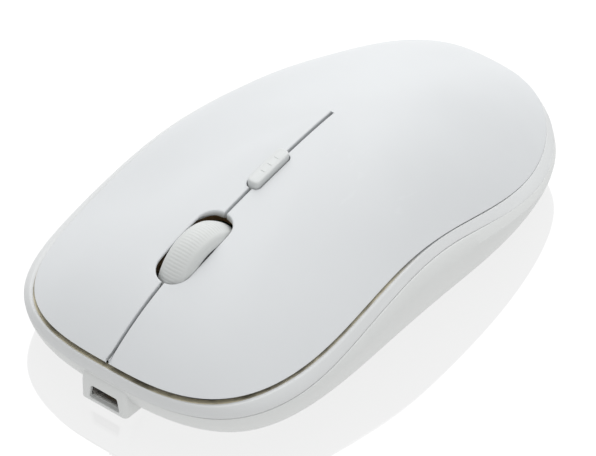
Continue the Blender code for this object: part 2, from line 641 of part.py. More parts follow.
def build():
    for old in list(bpy.data.objects):
        bpy.data.objects.remove(old)
    white = make_material("white_plastic", (0.80, 0.81, 0.82), 0.45)
    wheel_white = make_material("wheel_rubber", (0.74, 0.75, 0.74), 0.55)
    hub_grey = make_material("hub_plastic", (0.72, 0.72, 0.70), 0.40)
    grey = make_material("grey_plastic", (0.55, 0.55, 0.53), 0.45)
    dark = make_material("dark_plastic", (0.05, 0.05, 0.05), 0.50)
    green = make_material("board_green", (0.02, 0.16, 0.07), 0.40)
    steel = make_material("steel", (0.62, 0.62, 0.62), 0.30, 1.0)
    foil = make_material("cell_foil", (0.70, 0.71, 0.72), 0.35, 1.0)
    slick = make_material("foot_plastic", (0.12, 0.12, 0.12), 0.35)
    clear = make_material("lens_plastic", (0.80, 0.82, 0.85), 0.10)
    red = make_material("red_lead", (0.45, 0.03, 0.02), 0.45)
    black = make_material("black_lead", (0.02, 0.02, 0.02), 0.45)

    make_cover(white)
    make_frame(white)
    make_shell(white)
    make_wheel(wheel_white, hub_grey, grey)
    make_encoder(dark)
    make_board(green)
    make_port(steel, dark)
    make_button(white, grey)
    tact = ((-10.7, WHEEL_Y - 3, PART_Z), (-4.7, WHEEL_Y + 3, PART_Z + 2.7))
    make_switch("middle_switch", *tact, (-7.7, WHEEL_Y), 1.45, PLUNGER_TOP, dark, hub_grey)
    for name, sign in (("left_switch", 1), ("right_switch", -1)):
        xs = sorted((sign * (KEY_PRESS_X - 2.9), sign * (KEY_PRESS_X + 2.9)))
        press = (sign * KEY_PRESS_X, KEY_PRESS_Y)
        make_switch(name, (xs[0], -41.8, PART_Z), (xs[1], -29.0, PART_Z + 6.5), press, 1.2, SWITCH_TOP - GAP,
                    dark, hub_grey)

    add_block("controller_chip", (8.6, -17.6, PART_Z), (15.4, -10.8, PART_Z + 0.9), dark, 0.15)
    add_block("charge_chip", (-13.5, 1.0, PART_Z), (-10.5, 4.0, PART_Z + 1.1), dark, 0.1)
    add_block("clock_crystal", (-12.6, -14.0, PART_Z), (-9.4, -11.5, PART_Z + 0.8), steel, 0.15)
    add_block("status_led", (-7.4, -50.2, PART_Z), (-5.8, -49.4, PART_Z + 0.7), clear)
    add_block("optical_sensor", (-4.6, SENSOR_Y - 5.0, PART_Z), (4.6, SENSOR_Y + 5.0, PART_Z + 2.5), dark, 0.3)
    lens = add_block("sensor_lens", (-5.0, SENSOR_Y - 7.0, 3.1), (5.0, SENSOR_Y + 5.0, 4.5), clear, 0.2)
    join(lens, add_cylinder("lens_eye", (0, SENSOR_Y - 1.0, 1.9), 2.2, 2.0, clear, sides=16, tip=2.6))

    for i, (x, y) in enumerate(FRAME_SCREWS + PALM_SCREWS):
        make_screw(f"case_screw_{i + 1}", x, y, 3.2, 4.5, 10.4, 2.0, steel)
    for i, (x, y) in enumerate(BOARD_SCREWS):
        make_screw(f"board_screw_{i + 1}", x, y, 7.2, 6.1, 2.7, 1.7, steel)

    power_switch = ((POWER_X - 3.6, POWER_Y - 1.75, 3.2), (POWER_X + 3.6, POWER_Y + 1.75, 4.5))
    add_block("power_switch", *power_switch, steel, 0.2)
    knob_x = POWER_X - 1.0
    knob = add_block("power_slider", (knob_x - 1.1, POWER_Y - 0.9, 0.5), (knob_x + 1.1, POWER_Y + 0.9, 2.9),
                     white, 0.2)
    add_pivot("power_travel", (knob_x, POWER_Y, 1.7), [knob])

    make_receiver(white, steel)
    make_battery(foil, red, black, wheel_white)
    make_feet(slick)
    add_plate("base_label", rounded_box(-13, -30, 13, -12), 0.6, BASE_Z - GAP, white, 1.5)


build()
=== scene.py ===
import bpy
import bmesh
import math
import numpy as np
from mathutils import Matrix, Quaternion, Vector


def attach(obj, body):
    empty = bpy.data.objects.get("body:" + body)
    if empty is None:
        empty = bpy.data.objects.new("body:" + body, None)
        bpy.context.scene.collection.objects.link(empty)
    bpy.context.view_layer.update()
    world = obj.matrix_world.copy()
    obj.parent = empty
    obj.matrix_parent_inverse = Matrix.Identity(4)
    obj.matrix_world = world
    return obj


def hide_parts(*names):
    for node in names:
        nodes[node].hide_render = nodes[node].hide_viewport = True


# A slim white rechargeable mouse. Shapes are worked out in millimetres and become metres as a mesh is made.
# The front, with the charging port, points to -Y, and the palm end to +Y.

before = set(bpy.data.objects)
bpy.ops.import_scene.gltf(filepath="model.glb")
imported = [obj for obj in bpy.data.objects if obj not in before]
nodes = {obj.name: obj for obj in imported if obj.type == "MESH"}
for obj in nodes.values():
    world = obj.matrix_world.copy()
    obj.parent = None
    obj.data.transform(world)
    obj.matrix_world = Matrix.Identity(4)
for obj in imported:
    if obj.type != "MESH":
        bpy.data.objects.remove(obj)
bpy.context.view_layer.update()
mm = 0.001
print("frame loaded:", len(nodes), "nodes")


# meshes from grids

meshCare = {"merge": 5e-7, "thin": 2e-7, "sharp": 32.0}     # metres, metres, degrees
poleShares = (0.0, 0.35, 0.75)                              # rings that close a pad, from its pole outwards


def linkGrid(rowCount, columnCount, wrapRows=False, wrapColumns=False):
    # quads between neighbours of a grid of points, point number = row times columns + column
    rows = np.arange(rowCount if wrapRows else rowCount - 1)
    columns = np.arange(columnCount if wrapColumns else columnCount - 1)
    i, j = np.meshgrid(rows, columns, indexing="ij")
    nextRow, nextColumn = (i + 1) % rowCount, (j + 1) % columnCount
    corners = [i * columnCount + j, nextRow * columnCount + j,
               nextRow * columnCount + nextColumn, i * columnCount + nextColumn]
    return np.stack([corner.ravel() for corner in corners], 1).tolist()


def linkObject(name, data, place=(0, 0, 0)):
    made = bpy.data.objects.new(name, data)
    made.location = place
    bpy.context.scene.collection.objects.link(made)
    return made


def newPiece(name, points, faces, material, body, replaced=(), slot=None, merge=True):
    # a closed mesh in place: doubles merged, faces outwards, edges sharper than an angle left crisp
    mesh = bpy.data.meshes.new(name)
    mesh.from_pydata((np.asarray(points, float).reshape(-1, 3) * mm).tolist(), [], faces)
    shape = bmesh.new()
    shape.from_mesh(mesh)
    if merge:
        bmesh.ops.remove_doubles(shape, verts=shape.verts, dist=meshCare["merge"])
        bmesh.ops.dissolve_degenerate(shape, edges=shape.edges, dist=meshCare["thin"])
    bmesh.ops.recalc_face_normals(shape, faces=shape.faces)
    shape.to_mesh(mesh)
    shape.free()
    mesh.materials.append(material)
    mesh.shade_smooth()
    mesh.set_sharp_from_angle(angle=math.radians(meshCare["sharp"]))
    piece = linkObject(name, mesh)
    if body:
        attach(piece, body)
    if replaced:
        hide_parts(*replaced)
    return piece


def piecePoints(piece):
    # a piece's points in millimetres
    flat = np.empty(len(piece.data.vertices) * 3, np.float32)
    piece.data.vertices.foreach_get("co", flat)
    return flat.reshape(-1, 3) / mm


def markPaintedShade(piece, share):
    # how much of the painted shade, a darker warm tint for faces in a gap's shade, each point takes
    attribute = piece.data.attributes.new("ledge", "FLOAT", "POINT")
    attribute.data.foreach_set("value", np.asarray(share, np.float32))


def roundedOutline(halfX, halfY, radius, steps=9):
    # a rectangle with round corners: four quarter circles, anticlockwise from the +X side
    radius = max(min(radius, halfX, halfY), 0.001)
    turn = np.linspace(0, np.pi / 2, steps)
    corners = []
    for quarter, (signX, signY) in enumerate(((1, 1), (-1, 1), (-1, -1), (1, -1))):
        angle = turn + quarter * np.pi / 2
        corners.append(np.stack([signX * (halfX - radius) + radius * np.cos(angle),
                                 signY * (halfY - radius) + radius * np.sin(angle)], 1))
    return np.concatenate(corners)


def flatRing(outline, height):
    # an outline in plan, raised to one height or to a height for each point
    return np.column_stack([outline, np.broadcast_to(height, len(outline))])


def padRings(centerX, centerY, halfX, halfY, radius, levels, steps=9):
    # rounded rectangles stacked as (height, how much smaller), closed at both ends by rings down to a pole
    rings = [flatRing(roundedOutline(halfX - smaller, halfY - smaller, radius - smaller, steps), height)
             for height, smaller in levels]
    below = [rings[0] * (k, k, 1) for k in poleShares]
    above = [rings[-1] * (k, k, 1) for k in reversed(poleShares)]
    return np.array(below + rings + above) + (centerX, centerY, 0)


def softLevels(low, high, softLow, softHigh, steps=5):
    # levels of a pad whose lower and upper edges are quarter rounds
    turn = np.linspace(0, np.pi / 2, steps)
    lower = [(low + softLow * (1 - math.cos(a)), softLow * (1 - math.sin(a))) for a in turn]
    upper = [(high - softHigh * (1 - math.sin(a)), softHigh * (1 - math.cos(a))) for a in turn]
    return lower + upper


# the mouse's own surfaces

form = {
    "length": 115.0, "edgeHalf": 29.85, "middleY": 8.7,
    "powers": (3.0, 2.5), "insets": (1.1, 0.275), "taper": (-0.04, 0.10, -0.07),
    "waist": 0.6, "waistY": -5.0, "waistSpread": 22.0,
    "edgeHeights": [(-56.4, 11.2), (-31.0, 13.1), (-5.0, 17.5), (21.0, 13.5), (41.5, 9.8), (56.9, 11.3)],
    "crownHeights": [(-56.4, 26.3), (-31.0, 25.4), (-5.0, 27.9), (21.0, 28.9), (41.5, 25.5), (56.9, 24.0)],
    "crownPowers": (3.5, 2.4, 2.9),
    "baseZ": 1.2, "bulge": (0.95, 2.4, 0.6), "sideSwell": 0.5, "bulgePeak": 0.3,
    "bulgeFade": (1.0, 0.7, 1.0), "bulgeFadePower": 1.6,
    "undercut": (4.9, 2.2, 21.0), "undercutPowers": (2.2, 2.3, 2.2),
    "keyGap": 1.0, "sideGap": 0.62, "wall": 1.8, "coverThickness": 1.6,
    "bandHeights": [(-56.4, 2.6), (-46.0, 2.3), (-28.0, 1.5), (0.0, 1.35), (30.0, 1.4), (56.9, 1.4)],
    "hairline": 0.13, "closedLine": 0.03,     # seams where they show, and where they all but vanish
    "noseFacing": (0.25, 0.85), "gapFade": (-14, 9), "lineFade": (18, 36),   # where the cover's gap changes
    "noseSeam": (12, 23), "seamFade": (8, 24),                # where the frame's lower seam comes and goes
}


def throughKnots(knots, places):
    # natural cubic spline through (place, value) knots
    at, value = np.array(knots, float).T
    step = np.diff(at)
    slope = np.diff(value) / step
    matrix, right = np.eye(len(at)), np.zeros(len(at))
    for i in range(1, len(at) - 1):
        matrix[i, i - 1:i + 2] = step[i - 1], 2 * (step[i - 1] + step[i]), step[i]
        right[i] = 6 * (slope[i] - slope[i - 1])
    bend = np.linalg.solve(matrix, right)
    places = np.clip(places, at[0], at[-1])
    i = np.clip(np.searchsorted(at, places) - 1, 0, len(at) - 2)
    t = places - at[i]
    start = slope[i] - step[i] * (2 * bend[i] + bend[i + 1]) / 6
    return value[i] + start * t + bend[i] * t**2 / 2 + (bend[i + 1] - bend[i]) * t**3 / (6 * step[i])


def mixFacing(facing, values):
    # front, side and rear values by how far a rim point faces forward or back
    front, side, rear = values
    return side + np.where(facing < 0, front - side, rear - side) * facing**2


def waistAt(y):
    # how far the sides are pulled in: a bell curve along y
    return form["waist"] * np.exp(-((y - form["waistY"]) / form["waistSpread"])**2)


def rimAt(angle):
    # the cover's rim in plan: a superellipse, times a cubic taper along y and a slight waist
    c, s = np.cos(angle), np.sin(angle)
    half = form["length"] / 2
    power = np.where(s < 0, *form["powers"])
    frontInset, rearInset = form["insets"]
    reach = np.where(s < 0, form["middleY"] + half - frontInset, half - rearInset - form["middleY"])
    radius = (np.abs(c / form["edgeHalf"])**power + np.abs(s / reach)**power)**(-1 / power)
    y = form["middleY"] + radius * s
    t = (y - form["middleY"]) / half
    first, second, third = form["taper"]
    taper = 1 + first * t + second * t**2 + third * t**3
    return radius * c * taper * (1 - waistAt(y) / form["edgeHalf"]), y


def outwardAt(angle):
    # the rim's outward direction in plan: its tangent, by a small difference, turned a quarter
    aheadX, aheadY = rimAt(angle + 1e-4)
    behindX, behindY = rimAt(angle - 1e-4)
    alongX, alongY = aheadX - behindX, aheadY - behindY
    size = np.hypot(alongX, alongY)
    return alongY / size, -alongX / size


def aroundRim(columns):
    # angles round the rim from the nose, the inward direction at each, and the height from rim to base
    angle = np.linspace(0, 2 * np.pi, columns, endpoint=False) - np.pi / 2
    outX, outY = outwardAt(angle)
    height = throughKnots(form["edgeHeights"], rimAt(angle)[1]) - form["baseZ"]
    return angle, np.stack([-outX, -outY, 0 * outX], -1), height


def crownAt(rho, angle):
    # the dome: height falls from the ridge to the rim as 1 - rho to a power
    rimX, rimY = rimAt(angle)
    x = rho * rimX
    y = form["middleY"] + rho * (rimY - form["middleY"])
    edge = throughKnots(form["edgeHeights"], rimY)
    ridge = throughKnots(form["crownHeights"], y)
    z = edge + (ridge - edge) * (1 - rho**mixFacing(outwardAt(angle)[1], form["crownPowers"]))
    return np.stack(np.broadcast_arrays(x, y, z), -1)


def crownNormal(rho, angle):
    # the dome's unit normal: cross product of small differences along rho and angle, kept off the pole
    step, least = 1e-3, 0.02
    rho = np.maximum(rho, least)
    along = crownAt(rho + step, angle) - crownAt(rho - step, angle)
    around = crownAt(rho, angle + step) - crownAt(rho, angle - step)
    normal = np.cross(along, around)
    return normal / np.linalg.norm(normal, axis=-1, keepdims=True)


def topHeight(x, y):
    # height of the dome over a point in plan, by turning the plan angle back into the rim's own angle
    angle = np.arctan2(y - form["middleY"], x)
    for _ in range(30):
        rimX, rimY = rimAt(angle)
        angle = angle + np.arctan2(y - form["middleY"], x) - np.arctan2(rimY - form["middleY"], rimX)
    rho = np.hypot(x, y - form["middleY"]) / np.hypot(rimX, rimY - form["middleY"])
    return crownAt(rho, angle)[..., 2]


def sideAt(drop, angle):
    # the lower body: a sine swell under the rim that fades as a power of drop, less a superellipse
    # undercut, with drop running from 0 at the rim to 1 at the flat base
    rimX, rimY = rimAt(angle)
    outX, outY = outwardAt(angle)
    edge = throughKnots(form["edgeHeights"], rimY)
    peak = form["bulgePeak"]
    rise = np.sin(np.pi / 2 * np.minimum(drop / peak, 1))
    fade = np.maximum(0, (drop - peak) / (1 - peak))**form["bulgeFadePower"]
    power = mixFacing(outY, form["undercutPowers"])
    aside = np.maximum(1 - outY**2, 0)**2
    swell = mixFacing(outY, form["bulge"]) + aside * (waistAt(rimY) + form["sideSwell"])
    under = 1 - (1 - np.clip(drop, 0, 1)**power)**(1 / power)
    out = swell * (rise - mixFacing(outY, form["bulgeFade"]) * fade)
    out = out - mixFacing(outY, form["undercut"]) * under
    x, y, z = rimX + outX * out, rimY + outY * out, edge + (form["baseZ"] - edge) * drop
    return np.stack(np.broadcast_arrays(x, y, z), -1)


def easeIn(value, start, end):
    # smooth step from 0 at start to 1 at end
    t = np.clip((value - start) / (end - start), 0, 1)
    return t * t * (3 - 2 * t)


def gapAt(angle):
    # gap under the cover: widest across the nose, slimmer beside the keys, then a hairline that closes
    y, facing = rimAt(angle)[1], np.abs(outwardAt(angle)[1])
    line = form["hairline"] + (form["closedLine"] - form["hairline"]) * easeIn(y, *form["lineFade"])
    wide = form["sideGap"] + (form["keyGap"] - form["sideGap"]) * easeIn(facing, *form["noseFacing"])
    return wide + (line - wide) * easeIn(y, *form["gapFade"])


def lowerSeamShare(angle):
    # how far the seam under the frame shows: not across the nose, fully along the sides, not at the rear
    x, y = rimAt(angle)
    nose = np.where(y < 0, easeIn(np.abs(x), *form["noseSeam"]), 1.0)
    return nose * (1 - easeIn(y, *form["seamFade"]))


def bandAt(angle):
    # height of the frame's band, by a spline along y
    return throughKnots(form["bandHeights"], rimAt(angle)[1])


def softCorner(before, corner, after, steps):
    # a corner rounded by a quadratic curve from before to after
    t = np.linspace(0, 1, steps).reshape((-1,) + (1,) * np.asarray(corner).ndim)
    return (1 - t)**2 * before + 2 * t * (1 - t) * corner + t**2 * after


# shader groups and materials

def addNode(tree, kind, inputs=None, **settings):
    made = tree.nodes.new(kind)
    for key, value in settings.items():
        setattr(made, key, value)
    for key, value in (inputs or {}).items():
        if isinstance(value, bpy.types.NodeSocket):
            tree.links.new(value, made.inputs[key])
        else:
            made.inputs[key].default_value = value
    return made


def newGroup(name, inputs, outputs):
    # a group whose sockets are all numbers: (label, value) for each input, a label for each output
    group = bpy.data.node_groups.new(name, "ShaderNodeTree")
    for label, value in inputs:
        socket = group.interface.new_socket(label, in_out="INPUT", socket_type="NodeSocketFloat")
        socket.default_value = value
    for label in outputs:
        group.interface.new_socket(label, in_out="OUTPUT", socket_type="NodeSocketFloat")
    return group, addNode(group, "NodeGroupInput"), addNode(group, "NodeGroupOutput")


def mathNode(tree, operation, first, second=0.0, third=0.0, clamp=False):
    inputs = {0: first, 1: second, 2: third}
    return addNode(tree, "ShaderNodeMath", inputs, operation=operation, use_clamp=clamp).outputs[0]


def noiseNode(tree, vector, scale, detail=2.0, roughness=0.5):
    inputs = {"Vector": vector, "Scale": scale, "Detail": detail, "Roughness": roughness}
    return addNode(tree, "ShaderNodeTexNoise", inputs).outputs["Fac"]


def rangeNode(tree, value, start, end):
    # 0 below start, 1 above end, straight between
    inputs = {"Value": value, "From Min": start, "From Max": end}
    return addNode(tree, "ShaderNodeMapRange", inputs).outputs[0]


def objectPlace(tree):
    return addNode(tree, "ShaderNodeTexCoord").outputs["Object"]


def makeGrainGroup():
    # spark-eroded mould grain: two sizes of noise as a height, and a slow drift for tone and gloss
    group, given, result = newGroup("mould grain", [("Grain Size", 0.12), ("Depth", 1.0)],
                                    ["Height", "Drift"])
    place = objectPlace(group)
    perMetre = mathNode(group, "DIVIDE", 1000.0, given.outputs["Grain Size"])
    fine = noiseNode(group, place, perMetre, 3.0, 0.6)
    coarse = noiseNode(group, place, mathNode(group, "MULTIPLY", perMetre, 0.28), 2.0)
    both = mathNode(group, "MULTIPLY_ADD", coarse, 0.5, fine)
    group.links.new(mathNode(group, "MULTIPLY", both, given.outputs["Depth"]), result.inputs["Height"])
    group.links.new(noiseNode(group, place, 55.0, 3.0, 0.55), result.inputs["Drift"])
    return group


def makeWearGroup():
    # convex edges rubbed a little paler and glossier, broken up by noise
    group, given, result = newGroup("edge wear", [("Amount", 0.3)], ["Mask"])
    edge = rangeNode(group, addNode(group, "ShaderNodeNewGeometry").outputs["Pointiness"], 0.505, 0.56)
    broken = mathNode(group, "MULTIPLY", edge, noiseNode(group, objectPlace(group), 900.0, 4.0, 0.6))
    mask = mathNode(group, "MULTIPLY", broken, given.outputs["Amount"], clamp=True)
    group.links.new(mask, result.inputs["Mask"])
    return group


def makeDustGroup():
    # fine dust on what faces up, in faint uneven patches and specks
    group, given, result = newGroup("settled dust", [("Amount", 0.1)], ["Mask"])
    coordinates = addNode(group, "ShaderNodeTexCoord")
    up = addNode(group, "ShaderNodeSeparateXYZ", {0: coordinates.outputs["Normal"]}).outputs["Z"]
    patches = noiseNode(group, coordinates.outputs["Object"], 140.0, 3.0, 0.6)
    specks = rangeNode(group, noiseNode(group, coordinates.outputs["Object"], 4200.0, 1.0), 0.66, 0.78)
    spread = mathNode(group, "MULTIPLY_ADD", specks, 1.2, patches)
    facing = mathNode(group, "MULTIPLY", mathNode(group, "MAXIMUM", up, 0.0), spread)
    mask = mathNode(group, "MULTIPLY", facing, given.outputs["Amount"], clamp=True)
    group.links.new(mask, result.inputs["Mask"])
    return group


grainGroup, wearGroup, dustGroup = makeGrainGroup(), makeWearGroup(), makeDustGroup()


def setSockets(node, values):
    for label, value in values.items():
        node.inputs[label.replace("_", " ")].default_value = value
    return node


def useGroup(tree, group, **values):
    return setSockets(addNode(tree, "ShaderNodeGroup", node_tree=group), values)


def mixColor(tree, share, first, second):
    # 0, 6 and 7 are the Mix node's factor and its two colours
    return addNode(tree, "ShaderNodeMix", {0: share, 6: first, 7: second}, data_type="RGBA").outputs[2]


def tinted(color, times=1.0, plus=0.0):
    # a colour made paler or darker, with its alpha
    return tuple(min(1.0, c * times + plus) for c in color) + (1.0,)


def startMaterial(name, **constants):
    material = bpy.data.materials.new(name)
    material.use_nodes = True
    tree = material.node_tree
    return material, tree, setSockets(tree.nodes["Principled BSDF"], constants)


def bumpInto(tree, shader, height, strength, distance):
    bump = addNode(tree, "ShaderNodeBump", {"Height": height, "Strength": strength, "Distance": distance})
    tree.links.new(bump.outputs["Normal"], shader.inputs["Normal"])


def plastic(name, color, roughness, grain=0.10, bump=0.25, wear=0.25, dust=0.05, tone=0.03, ledge=None,
            **constants):
    # moulded plastic: grain in the normal, drift in tone and gloss, wear on its edges, dust on top,
    # and painted shade: a streaky warm tint where the ledge attribute marks a face in a gap's shade
    material, tree, shader = startMaterial(name, **constants)
    grainNode = useGroup(tree, grainGroup, Grain_Size=grain, Depth=1.0)
    wearMask = useGroup(tree, wearGroup, Amount=wear).outputs["Mask"]
    dustMask = useGroup(tree, dustGroup, Amount=dust).outputs["Mask"]
    drift = grainNode.outputs["Drift"]
    base = mixColor(tree, drift, tinted(color, 1 - tone), tinted(color, 1 + tone))
    base = mixColor(tree, wearMask, base, tinted(color, 1.12, 0.03))
    base = mixColor(tree, dustMask, base, (0.62, 0.60, 0.56, 1.0))
    if ledge:
        # painted shade: faces marked by the ledge attribute take a warm tint with darker streaks, standing
        # for the shade inside a gap
        mask = addNode(tree, "ShaderNodeAttribute", attribute_name="ledge").outputs["Fac"]
        streak = rangeNode(tree, noiseNode(tree, objectPlace(tree), 130.0, 3.0, 0.6), 0.38, 0.56)
        base = mixColor(tree, mask, base, mixColor(tree, streak, tinted(ledge, 0.45), tinted(ledge)))
    tree.links.new(base, shader.inputs["Base Color"])
    rough = mathNode(tree, "MULTIPLY_ADD", drift, 0.10, roughness - 0.05)
    rough = mathNode(tree, "MULTIPLY_ADD", wearMask, -0.12, rough)
    rough = mathNode(tree, "MULTIPLY_ADD", dustMask, 0.25, rough, clamp=True)
    tree.links.new(rough, shader.inputs["Roughness"])
    bumpInto(tree, shader, grainNode.outputs["Height"], bump, 0.00002)
    return material


def metal(name, color, roughness, brush=(1.0, 1.0, 1.0)):
    # plated sheet: fine drawn lines along one direction, cloudy gloss
    material, tree, shader = startMaterial(name, Metallic=1.0)
    place = objectPlace(tree)
    stretched = addNode(tree, "ShaderNodeMapping", {"Vector": place, "Scale": brush}).outputs[0]
    lines = noiseNode(tree, stretched, 2600.0, 4.0, 0.7)
    cloud = noiseNode(tree, place, 260.0, 3.0)
    wearMask = useGroup(tree, wearGroup, Amount=0.3).outputs["Mask"]
    base = mixColor(tree, cloud, tinted(color, 0.88), tinted(color))
    base = mixColor(tree, wearMask, base, tinted(color, 1.2))
    tree.links.new(base, shader.inputs["Base Color"])
    rough = mathNode(tree, "MULTIPLY_ADD", cloud, 0.15, roughness - 0.08)
    rough = mathNode(tree, "MULTIPLY_ADD", lines, 0.08, rough, clamp=True)
    tree.links.new(rough, shader.inputs["Roughness"])
    bumpInto(tree, shader, lines, 0.15, 0.00001)
    return material


# the cover's ledge colour is painted shade: a darker warm tint for the slot's walls in shade
coverWhite = plastic("cover white", (0.66, 0.675, 0.685), 0.50, bump=0.35, wear=0.20,
                     dust=0.03, ledge=(0.34, 0.31, 0.24))
# the frame's ledge colour is painted shade: a warm olive for the ledge and inner wall in the shade under
# the cover's rim
frameWhite = plastic("frame white", (0.67, 0.68, 0.68), 0.45, grain=0.12, bump=0.25, dust=0.02,
                     ledge=(0.80, 0.73, 0.54))
shellWhite = plastic("shell white", (0.71, 0.72, 0.71), 0.42, grain=0.14, bump=0.25, dust=0.02)
buttonWhite = plastic("button white", (0.64, 0.655, 0.65), 0.45, grain=0.08, bump=0.2, wear=0.35)
wheelRubber = plastic("wheel rubber", (0.62, 0.635, 0.625), 0.62, grain=0.06, bump=0.3, wear=0.1,
                      dust=0.10, Sheen_Weight=0.15)
hubPlastic = plastic("hub plastic", (0.58, 0.58, 0.56), 0.40)
greyPlastic = plastic("grey plastic", (0.30, 0.30, 0.29), 0.45)
# painted shade: a dark brown for the collar that stands in for the shaded inside under the wheel's slot
paintedShadeBrown = plastic("painted shade brown", (0.20, 0.115, 0.045), 0.5)
darkPlastic = plastic("dark plastic", (0.018, 0.018, 0.02), 0.48, grain=0.08, dust=0.04)
connectorWhite = plastic("connector plastic", (0.55, 0.53, 0.46), 0.40)
footPlastic = plastic("foot plastic", (0.022, 0.022, 0.024), 0.28, grain=0.20, bump=0.1, wear=0.6)
labelFilm = plastic("label film", (0.58, 0.59, 0.59), 0.35, grain=0.30, bump=0.08, tone=0.01,
                    Coat_Weight=0.2)
redLead = plastic("red lead", (0.40, 0.02, 0.015), 0.42, grain=0.15, bump=0.1)
blackLead = plastic("black lead", (0.012, 0.012, 0.012), 0.42, grain=0.15, bump=0.1)
plateSteel = metal("plated steel", (0.62, 0.61, 0.59), 0.30, (1.0, 0.08, 1.0))
cellFoil = metal("cell foil", (0.66, 0.67, 0.68), 0.36, (0.1, 1.0, 1.0))
goldPlate = metal("gold plate", (0.83, 0.61, 0.27), 0.25)


def makeBoardMaterial():
    # lacquered board: copper lines under green lacquer, a rectangular maze of traces, with a coat
    material, tree, shader = startMaterial("board lacquer", Coat_Weight=0.5, Coat_Roughness=0.15)
    place = objectPlace(tree)
    traces = addNode(tree, "ShaderNodeTexBrick", {
        "Vector": place, "Scale": 420.0, "Color1": (1, 1, 1, 1), "Color2": (1, 1, 1, 1),
        "Mortar": (0, 0, 0, 1), "Mortar Size": 0.035, "Brick Width": 1.3, "Row Height": 0.42},
        offset=0.37, squash=0.6)
    mask = traces.outputs["Fac"]
    cloud = noiseNode(tree, place, 300.0, 3.0)
    lacquer = mixColor(tree, cloud, (0.008, 0.075, 0.03, 1), (0.012, 0.12, 0.05, 1))
    tree.links.new(mixColor(tree, mask, lacquer, (0.035, 0.20, 0.07, 1)), shader.inputs["Base Color"])
    tree.links.new(mathNode(tree, "MULTIPLY_ADD", cloud, 0.12, 0.30), shader.inputs["Roughness"])
    bumpInto(tree, shader, mask, 0.3, 0.00004)
    return material


def makeClearMaterial():
    # clear moulded lens with faint scratches
    material, tree, shader = startMaterial("clear lens", Base_Color=(0.86, 0.89, 0.93, 1),
                                           Transmission_Weight=0.9, IOR=1.49)
    haze = noiseNode(tree, objectPlace(tree), 1500.0, 4.0, 0.7)
    tree.links.new(mathNode(tree, "MULTIPLY_ADD", haze, 0.12, 0.04), shader.inputs["Roughness"])
    bumpInto(tree, shader, haze, 0.05, 0.00002)
    return material


boardLacquer, clearLens = makeBoardMaterial(), makeClearMaterial()
print("materials ready:", len(bpy.data.materials))


# top cover: palm part and two keys, one moulding split by the slit

coverSettings = {
    "lip": 0.25,              # how far the rounded rim reaches back
    "innerRim": 0.955,        # where the underside meets the rim's lower face
    "palmAngles": 169, "palmRings": 64, "palmEase": 0.85, "keyColumns": 96, "keyRows": 56,
    "slitHalf": 0.3, "slitSoft": 0.22,
    "slot": (3.75, -40.3, -22.4, 3.7), "slotSoft": 0.26,       # half width, front, rear, corner radius
    "notch": (1.6, -15.15, -4.85, 1.15), "notchSoft": 0.2,
    "nearTips": [0, 0.01, 0.04, 0.09, 0.16, 0.26, 0.4, 0.6, 0.85, 1.2, 1.6, 2.1, 2.7],    # rows near an end
    "plainDepth": 1.7, "tuckFrom": (4, 9), "tuckPower": 12,    # underside by the openings
    "archCenter": (-30.2, 15.5), "archHalf": 4.6, "archLeast": 0.45,                # hollow over the wheel
    "archProfile": [(0, 11.2), (2.3, 10.85), (3.1, 10.25), (3.8, 9.5), (4.6, 8.1)],
    # the slot's walls take painted shade: none down to wallFrom below the dome, full by wallTint further
    # down, within wallNear of the edge
    "wallTint": 1.2, "wallFrom": 0.3, "wallNear": 0.02,        # tint on the slot's walls
}


def rhoAtLip(angle):
    # the share of the way out at which the rim's rounding starts
    step = 0.001
    slope = np.linalg.norm(crownAt(1.0, angle) - crownAt(1 - step, angle), axis=-1) / step
    return 1 - coverSettings["lip"] / slope


def underAt(rho, angle):
    # the cover's underside: the dome moved in by its thickness along its normal
    return crownAt(rho, angle) - form["coverThickness"] * crownNormal(rho, angle)


def lipRows(angle):
    # the rim's rounded edge, from the dome round to the lower face
    edge = crownAt(1.0, angle)
    before = crownAt(rhoAtLip(angle), angle)
    inward = underAt(coverSettings["innerRim"], angle) - edge
    after = edge + coverSettings["lip"] * inward / np.linalg.norm(inward, axis=-1, keepdims=True)
    return list(softCorner(before, edge, after, 7)[1:])


def foldedSheet(name, top, lip, under, *others, **more):
    # a top grid, a rim, and an underside grid in the same order as the top, closed along both sides
    rows = np.array(list(top) + lip + list(under[::-1]))
    count, columns = rows.shape[:2]
    faces = linkGrid(count, columns)
    last = count - 1
    i = np.arange(len(top) - 1)
    for side in (0, columns - 1):
        strip = np.stack([i, i + 1, last - i - 1, last - i], 1) * columns + side
        rim = np.arange(len(top) - 1, count - len(under) + 1) * columns + side
        faces += strip.tolist() + [rim.tolist()]
    j = np.arange(columns - 1)
    faces += np.stack([j, j + 1, last * columns + j + 1, last * columns + j], 1).tolist()
    return newPiece(name, rows, faces, *others, **more)


def makePalm():
    # the dome over angles 0 to pi, rows of growing rho, finer towards the keys and the rim
    c = coverSettings
    v = np.linspace(0, 1, c["palmAngles"])[None, :]
    angle = np.pi * (v - c["palmEase"] * np.sin(2 * np.pi * v) / (2 * np.pi))
    spread = 1 - (1 - np.linspace(0, 1, c["palmRings"])[:, None])**1.7
    top = crownAt(spread * rhoAtLip(angle), angle)
    under = underAt(spread * c["innerRim"], angle)
    foldedSheet("palmCover", top, lipRows(angle[0]), under, coverWhite, "root", ["palm_cover"],
                "cover_white")


def roundedBoxDistance(x, y, half, front, rear, radius):
    # distance in plan to a round-cornered opening, negative inside it
    acrossX = np.abs(x) - (half - radius)
    acrossY = np.abs(y - (front + rear) / 2) - ((rear - front) / 2 - radius)
    outside = np.hypot(np.maximum(acrossX, 0), np.maximum(acrossY, 0))
    return outside + np.minimum(np.maximum(acrossX, acrossY), 0) - radius


